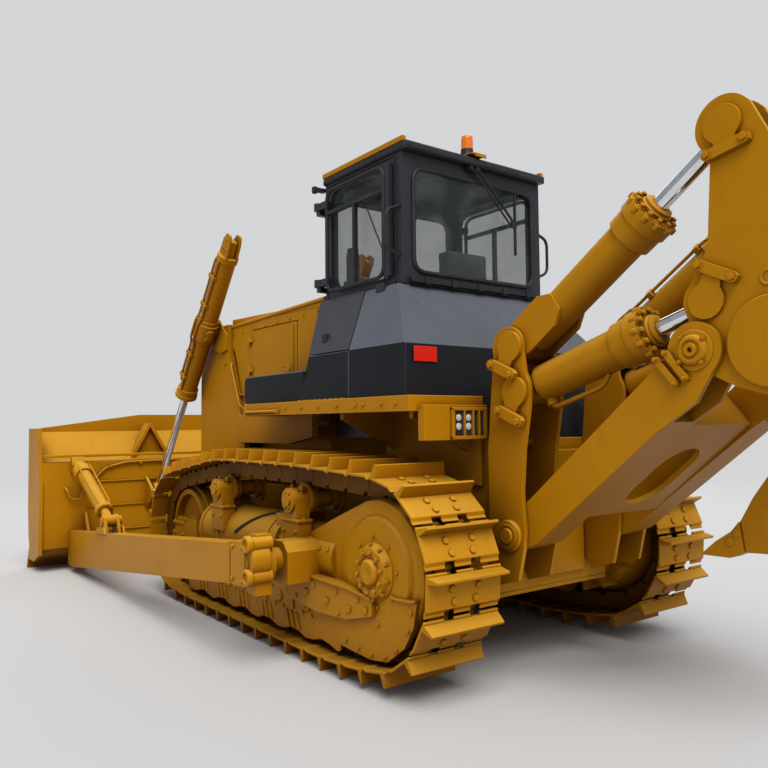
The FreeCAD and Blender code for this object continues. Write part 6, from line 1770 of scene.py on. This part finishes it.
@dataclass
class CabGear(Dresser):
    """Gaskets, bars, wipers, grab rails, beacon and seat of the cab.

    Attributes:
        slack: how far inside its solid's faces a cushion starts.
        swell: the furthest that a cushion's point may move.
        steps: frames that the cloth is run for.
    """

    slack: float = 0.016
    swell: float = 0.012
    steps: int = 20

    def ring(self, name: str, corners: Sequence[Vector], band: float,
             bend: float) -> bpy.types.Object:
        """Lays a rubber bead round a window.

        Args:
            name: the bead's name.
            corners: the window's four corners in order.
            band: the bead's radius.
            bend: how far from each corner it starts to turn.

        Returns:
            The bead.
        """
        middle = (corners[0] + corners[-1]) / 2
        return Bench.pipe(name, [middle, *corners, middle], band, 12, bend)

    def gaskets(self) -> None:
        """Adds the rubber round the rear and front windows."""
        pieces = []
        for x, low, high, half in ((0.417, 2.695, 3.455, 0.615), (1.443, 2.71, 3.455, 0.61)):
            pieces.append(self.ring("gasket", [
                at(x, -half, low), at(x, half, low), at(x, half, high), at(x, -half, high)],
                0.017, 0.11))
        self.fit(Bench.join("window_gaskets", pieces), Finish.RUBBER, Slot.PLASTIC)

    def rear(self) -> None:
        """Adds the rear wiper, the rail under the window and its fittings."""
        x = 0.412
        pieces = [
            Bench.rod("wiper_pivot", at(x + 0.01, 0.01, 3.545), at(x - 0.04, 0.01, 3.545), 0.024,
                      20, 0.003),
            Bench.rod("wiper_joint", at(x + 0.01, 0.075, 3.548), at(x - 0.04, 0.075, 3.548),
                      0.022, 20, 0.003),
            Bench.box("wiper_plate", at(x - 0.02, -0.02, 3.525), at(x + 0.008, 0.105, 3.572),
                      0.006),
            Bench.pipe("wiper_arm", [at(x - 0.036, 0.01, 3.545), at(x - 0.036, -0.375, 3.18)],
                       0.01, 10),
            Bench.pipe("wiper_link", [at(x - 0.036, 0.075, 3.545), at(x - 0.036, -0.345, 3.15)],
                       0.008, 10),
            Bench.box("wiper_head", at(x - 0.046, -0.4, 3.14), at(x - 0.026, -0.34, 3.2),
                      0.006),
            Bench.box("wiper_blade", at(x - 0.044, -0.394, 2.925), at(x - 0.026, -0.374, 3.415),
                      0.004),
            Bench.box("window_rail", at(x - 0.03, -0.66, 2.612), at(x + 0.006, 0.66, 2.652),
                      0.006),
        ]
        for index in range(5):
            y = -0.52 + 0.26 * index
            pieces.append(Bench.box("rail_clip_%d" % index, at(x - 0.04, y - 0.022, 2.604),
                                    at(x + 0.006, y + 0.022, 2.66), 0.005))
        self.fit(Bench.join("rear_wiper", pieces), Finish.RUBBER, Slot.PLASTIC)

    def doors(self) -> None:
        """Adds the side windows' gaskets and bars and the doors' edge strips and latches."""
        for body, side in (("cab_door_left", LEFT), ("cab_door_right", RIGHT)):
            face = 0.762
            low, high, foot, head = 0.585, 1.352, 2.668, 3.485
            strips = [
                self.ring(body + "_gasket", [
                    at(low, face - 0.003, foot), at(high, face - 0.003, foot),
                    at(high, face - 0.003, head), at(low, face - 0.003, head)], 0.015, 0.095),
                self.side_slab("window_bar", [(low, 3.29), (high, 3.29), (high, 3.322),
                                              (low, 3.322)], face - 0.034, face + 0.002, 0.004),
                self.side_slab("slider_post", [(0.955, foot), (0.985, foot), (0.985, 3.3),
                                               (0.955, 3.3)], face - 0.034, face + 0.002, 0.003),
            ]
            whole = Bench.join(body + "_rubber", strips)
            panel = self.side_slab(body + "_frame", [
                (0.518, foot - 0.004), (low, foot - 0.004), (low, head + 0.004),
                (0.518, head + 0.004)], face - 0.04, face - 0.002, 0.003)
            latch = self.side_slab(body + "_latch", [(0.565, 2.56), (0.665, 2.56),
                                                     (0.665, 2.618), (0.565, 2.618)],
                                   face - 0.03, face + 0.016, 0.006)
            handle = Bench.join(body + "_grip", [panel, latch])
            self.fit(self.on_side(whole, side), Finish.RUBBER, Slot.PLASTIC, body)
            self.fit(self.on_side(handle, side), Finish.CHARCOAL, Slot.BLACK, body)

    def roof(self) -> None:
        """Adds the roof's strips, drip rim and beacon, and the rear posts' grab rails and the dark
        rubber strips that paint the shade in the gap behind each door.
        """
        strip = self.side_slab("roof_strip", [(0.385, 3.616), (1.455, 3.616), (1.455, 3.656),
                                              (0.385, 3.656)], 0.7, 0.736, 0.006)
        self.both("roof_strips", strip)
        grab = Bench.pipe("post_grab", [
            at(0.45, 0.72, 3.16), at(0.452, 0.838, 3.12), at(0.452, 0.838, 2.85),
            at(0.45, 0.72, 2.8)], 0.012, 12, 0.06)
        self.both("post_grabs", grab, Finish.RUBBER, Slot.PLASTIC)
        # Painted shade: a dark rubber strip fills the gap behind the door's rear edge.
        seal = Bench.box("post_gap_shade", at(0.488, 0.712, 2.62), at(0.512, 0.722, 3.53), 0.002)
        self.both("post_gap_shades", seal, Finish.RUBBER, Slot.PLASTIC)
        pieces = [
            Bench.box("drip_rear", at(0.352, -0.7, 3.566), at(0.372, 0.7, 3.592), 0.005),
            Bench.box("drip_front", at(1.446, -0.7, 3.566), at(1.468, 0.7, 3.592), 0.005),
        ]
        for side in SIDES:
            low, high = sorted((side * 0.72, side * 0.738))
            pieces.append(Bench.box("drip_side", at(0.4, low, 3.566), at(1.44, high, 3.592),
                                    0.005))
        self.fit(Bench.join("drip_rim", pieces), Finish.RUBBER, Slot.PLASTIC)
        base = at(0.473, 0.03, 0.0)
        bracket = [
            Bench.box("beacon_foot", at(0.35, -0.05, 3.644), at(0.53, 0.095, 3.656), 0.004),
            Bench.box("beacon_lip", at(0.342, -0.05, 3.628), at(0.354, 0.062, 3.656), 0.004),
        ]
        self.fit(Bench.join("beacon_base", bracket))
        self.fit(Bench.lathe("beacon_socket", base, base + UP, (
            (3.652, 0.0), (3.652, 0.056), (3.668, 0.056), (3.676, 0.05), (3.716, 0.048),
            (3.72, 0.04), (3.72, 0.0)), 32, 0.002), Finish.RUBBER, Slot.PLASTIC)
        lens = Bench.lathe("beacon_lens", base, base + UP, (
            (3.718, 0.0), (3.718, 0.047), (3.73, 0.0475), (3.745, 0.0455), (3.76, 0.0475),
            (3.775, 0.0455), (3.79, 0.047), (3.805, 0.045), (3.82, 0.042), (3.826, 0.034),
            (3.828, 0.0)), 48)
        self.fit(lens, Finish.AMBER, Slot.AMBER, replaces=["beacon"])

    def fittings(self) -> None:
        """Adds the corner brackets, the console latches and the front wipers."""
        pieces = [Bench.box("corner_bracket", at(1.452, 0.7, 3.512), at(1.5, 0.792, 3.545),
                            0.006),
                  Bench.box("bracket_tip", at(1.47, 0.77, 3.5), at(1.51, 0.806, 3.556),
                            0.006),
                  Bench.box("console_latch", at(1.06, 0.905, 2.225), at(1.12, 0.96, 2.29),
                            0.008)]
        y = 0.3
        pieces.append(Bench.pipe("front_wiper", [
            at(1.446, y, 3.53), at(1.476, y, 3.51), at(1.476, y - 0.2, 3.1)], 0.007, 8))
        pieces.append(Bench.box("front_blade", at(1.462, y - 0.208, 2.86),
                                at(1.474, y - 0.192, 3.36), 0.003))
        self.both("cab_mirrors", Bench.join("cab_mirrors", pieces), Finish.RUBBER, Slot.PLASTIC)

    def seat(self) -> None:
        """Pads the seat: cloth blown up from a slightly smaller solid."""
        for node in ("seat_cushion", "seat_back"):
            low, high = (Vector(corner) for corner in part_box(node))
            inset = Vector([self.slack] * 3)
            pad = Bench.box(node + "_pad", low + inset, high - inset, 0.03, 3)
            self.inflate(pad)
            Bench.pick(pad)
            Bench.soften(pad, 0.0, 1, 60.0)
            self.fit(pad, Finish.CLOTH, Slot.CLOTH, replaces=[node])

    def inflate(self, pad: bpy.types.Object) -> None:
        """Blows a cushion up with a short cloth run and fixes its shape.

        Args:
            pad: the cushion's solid, already rounded.
        """
        Bench.modify(pad, "REMESH", mode="VOXEL", voxel_size=0.007)
        start = [vertex.co.copy() for vertex in pad.data.vertices]
        cloth = pad.modifiers.new("pad_cloth", "CLOTH")
        cloth.settings.quality = 5
        cloth.settings.mass = 0.2
        cloth.settings.use_pressure = True
        cloth.settings.uniform_pressure_force = 4.0
        cloth.settings.effector_weights.gravity = 0.0
        cloth.point_cache.frame_start, cloth.point_cache.frame_end = 1, self.steps
        scene = bpy.context.scene
        for step in range(1, self.steps + 1):
            scene.frame_set(step)
        Bench.pick(pad)
        bpy.ops.object.modifier_apply(modifier=cloth.name)
        scene.frame_set(1)
        for vertex, home in zip(pad.data.vertices, start):
            move = vertex.co - home
            if move.length > self.swell:
                vertex.co = home + move.normalized() * self.swell
        Bench.modify(pad, "SUBSURF", levels=1, render_levels=1)

    def build(self) -> None:
        """Dresses the cab."""
        self.gaskets()
        self.rear()
        self.doors()
        self.roof()
        self.fittings()
        self.seat()


# ---- studio ----------------------------------------------------------------------------


@dataclass
class Studio:
    """The camera at the photograph's viewpoint, a pale floor and soft light.

    Attributes:
        eye: the camera's place, from the sprocket axle.
        yaw: its heading in degrees from +X.
        pitch: degrees up.
        roll: degrees.
        focal: focal length as a share of the frame's width.
    """

    eye: Vector = field(default_factory=lambda: at(-3.7714, 3.9901, 1.6039))
    yaw: float = -36.49
    pitch: float = 3.03
    roll: float = -0.54
    focal: float = 758.2 / 768.0

    def camera(self) -> None:
        """Adds the camera."""
        yaw, pitch, roll = (math.radians(a) for a in (self.yaw, self.pitch, self.roll))
        ahead = Vector((math.cos(pitch) * math.cos(yaw), math.cos(pitch) * math.sin(yaw),
                        math.sin(pitch)))
        right = ahead.cross(UP).normalized()
        up = right.cross(ahead)
        right, up = (right * math.cos(roll) + up * math.sin(roll),
                     up * math.cos(roll) - right * math.sin(roll))
        data = bpy.data.cameras.new("studio_camera")
        data.sensor_width = 36.0
        data.lens = 36.0 * self.focal
        data.clip_start, data.clip_end = 0.05, 200.0
        camera = bpy.data.objects.new("studio_camera", data)
        bpy.context.scene.collection.objects.link(camera)
        camera.matrix_world = Matrix((right, up, -ahead)).transposed().to_4x4()
        camera.location = self.eye
        bpy.context.scene.camera = camera

    def light(self, name: str, kind: str, heading: Vector, power: float, colour: Colour,
              place: Vector = ORIGIN, **sizes: float) -> None:
        """Adds one light.

        Args:
            name: its name.
            kind: its type, SUN or AREA.
            heading: the way that it shines.
            power: its strength.
            colour: its colour.
            place: where it stands.
            sizes: its breadth, as angle or size.
        """
        data = bpy.data.lights.new(name, kind)
        data.energy, data.color = power, colour
        for size, value in sizes.items():
            setattr(data, size, value)
        light = bpy.data.objects.new(name, data)
        light.location = place
        light.rotation_mode = "QUATERNION"
        light.rotation_quaternion = heading.to_track_quat("-Z", "Y")
        bpy.context.scene.collection.objects.link(light)

    def floor(self) -> None:
        """Adds the pale floor."""
        Bench.clear()
        bpy.ops.mesh.primitive_plane_add(size=90.0, location=(0, 0, -0.002))
        floor = bpy.context.object
        floor.name = "studio_floor"
        board = Board("studio_floor")
        grain = board.noise(1.2, 3.0)
        body = board.mix(grain * 0.5, (0.72, 0.725, 0.73), (0.68, 0.685, 0.69))
        board.feed(Base_Color=body, Roughness=grain * 0.1 + 0.6)
        floor.data.materials.append(board.material)

    def sky(self) -> None:
        """Sets a plain pale world: soft on the object, near white to the camera."""
        world = bpy.data.worlds.new("studio_sky")
        bpy.context.scene.world = world
        world.use_nodes = True
        tree = world.node_tree
        tree.nodes.clear()
        path = tree.nodes.new("ShaderNodeLightPath")
        shades = []
        for colour, strength in (((0.93, 0.96, 1.0), 0.36), ((0.66, 0.67, 0.68), 1.0)):
            shade = tree.nodes.new("ShaderNodeBackground")
            shade.inputs["Color"].default_value = (*colour, 1.0)
            shade.inputs["Strength"].default_value = strength
            shades.append(shade)
        either = tree.nodes.new("ShaderNodeMath")
        either.operation = "MAXIMUM"
        tree.links.new(path.outputs["Is Camera Ray"], either.inputs[0])
        tree.links.new(path.outputs["Is Transmission Ray"], either.inputs[1])
        mix = tree.nodes.new("ShaderNodeMixShader")
        output = tree.nodes.new("ShaderNodeOutputWorld")
        tree.links.new(either.outputs[0], mix.inputs[0])
        for index, shade in enumerate(shades, 1):
            tree.links.new(shade.outputs[0], mix.inputs[index])
        tree.links.new(mix.outputs[0], output.inputs[0])

    def build(self) -> None:
        """Builds the whole studio."""
        self.camera()
        self.floor()
        self.sky()
        self.light("key_sun", "SUN", Vector((3.2, -1.5, -4.9)), 2.5, (1.0, 0.985, 0.96),
                   angle=math.radians(42.0))
        corner, middle = Vector((9.0, -7.0, 9.0)), Vector((0, 0, 1.4))
        self.light("front_light", "AREA", middle - corner, 240.0, (0.95, 0.97, 1.0), corner,
                   size=7.0)
        bpy.context.scene.view_settings.view_transform = "Standard"


def main() -> None:
    """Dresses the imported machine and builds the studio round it."""
    logging.basicConfig(level=logging.INFO, format="%(message)s")
    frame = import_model()
    nodes = frame["nodes"]
    bodies = frame["record"]["behaviour"]["bodies"]
    Studio().build()
    stages = [TrackChain(), Undercarriage(), BladeGear(), LiftCylinders(), RipperGear(),
              HoodGear(), CabGear()]
    for stage in stages:
        stage.build()
        LOG.info("%s built", type(stage).__name__)
    carried = {name: node for name, node in nodes.items() if name not in MADE_HERE}
    Panelwork().dress(carried, bodies)
    LOG.info("%d pieces fitted", Fitter.count)
    bpy.context.view_layer.update()


if __name__ == "__main__":
    main()
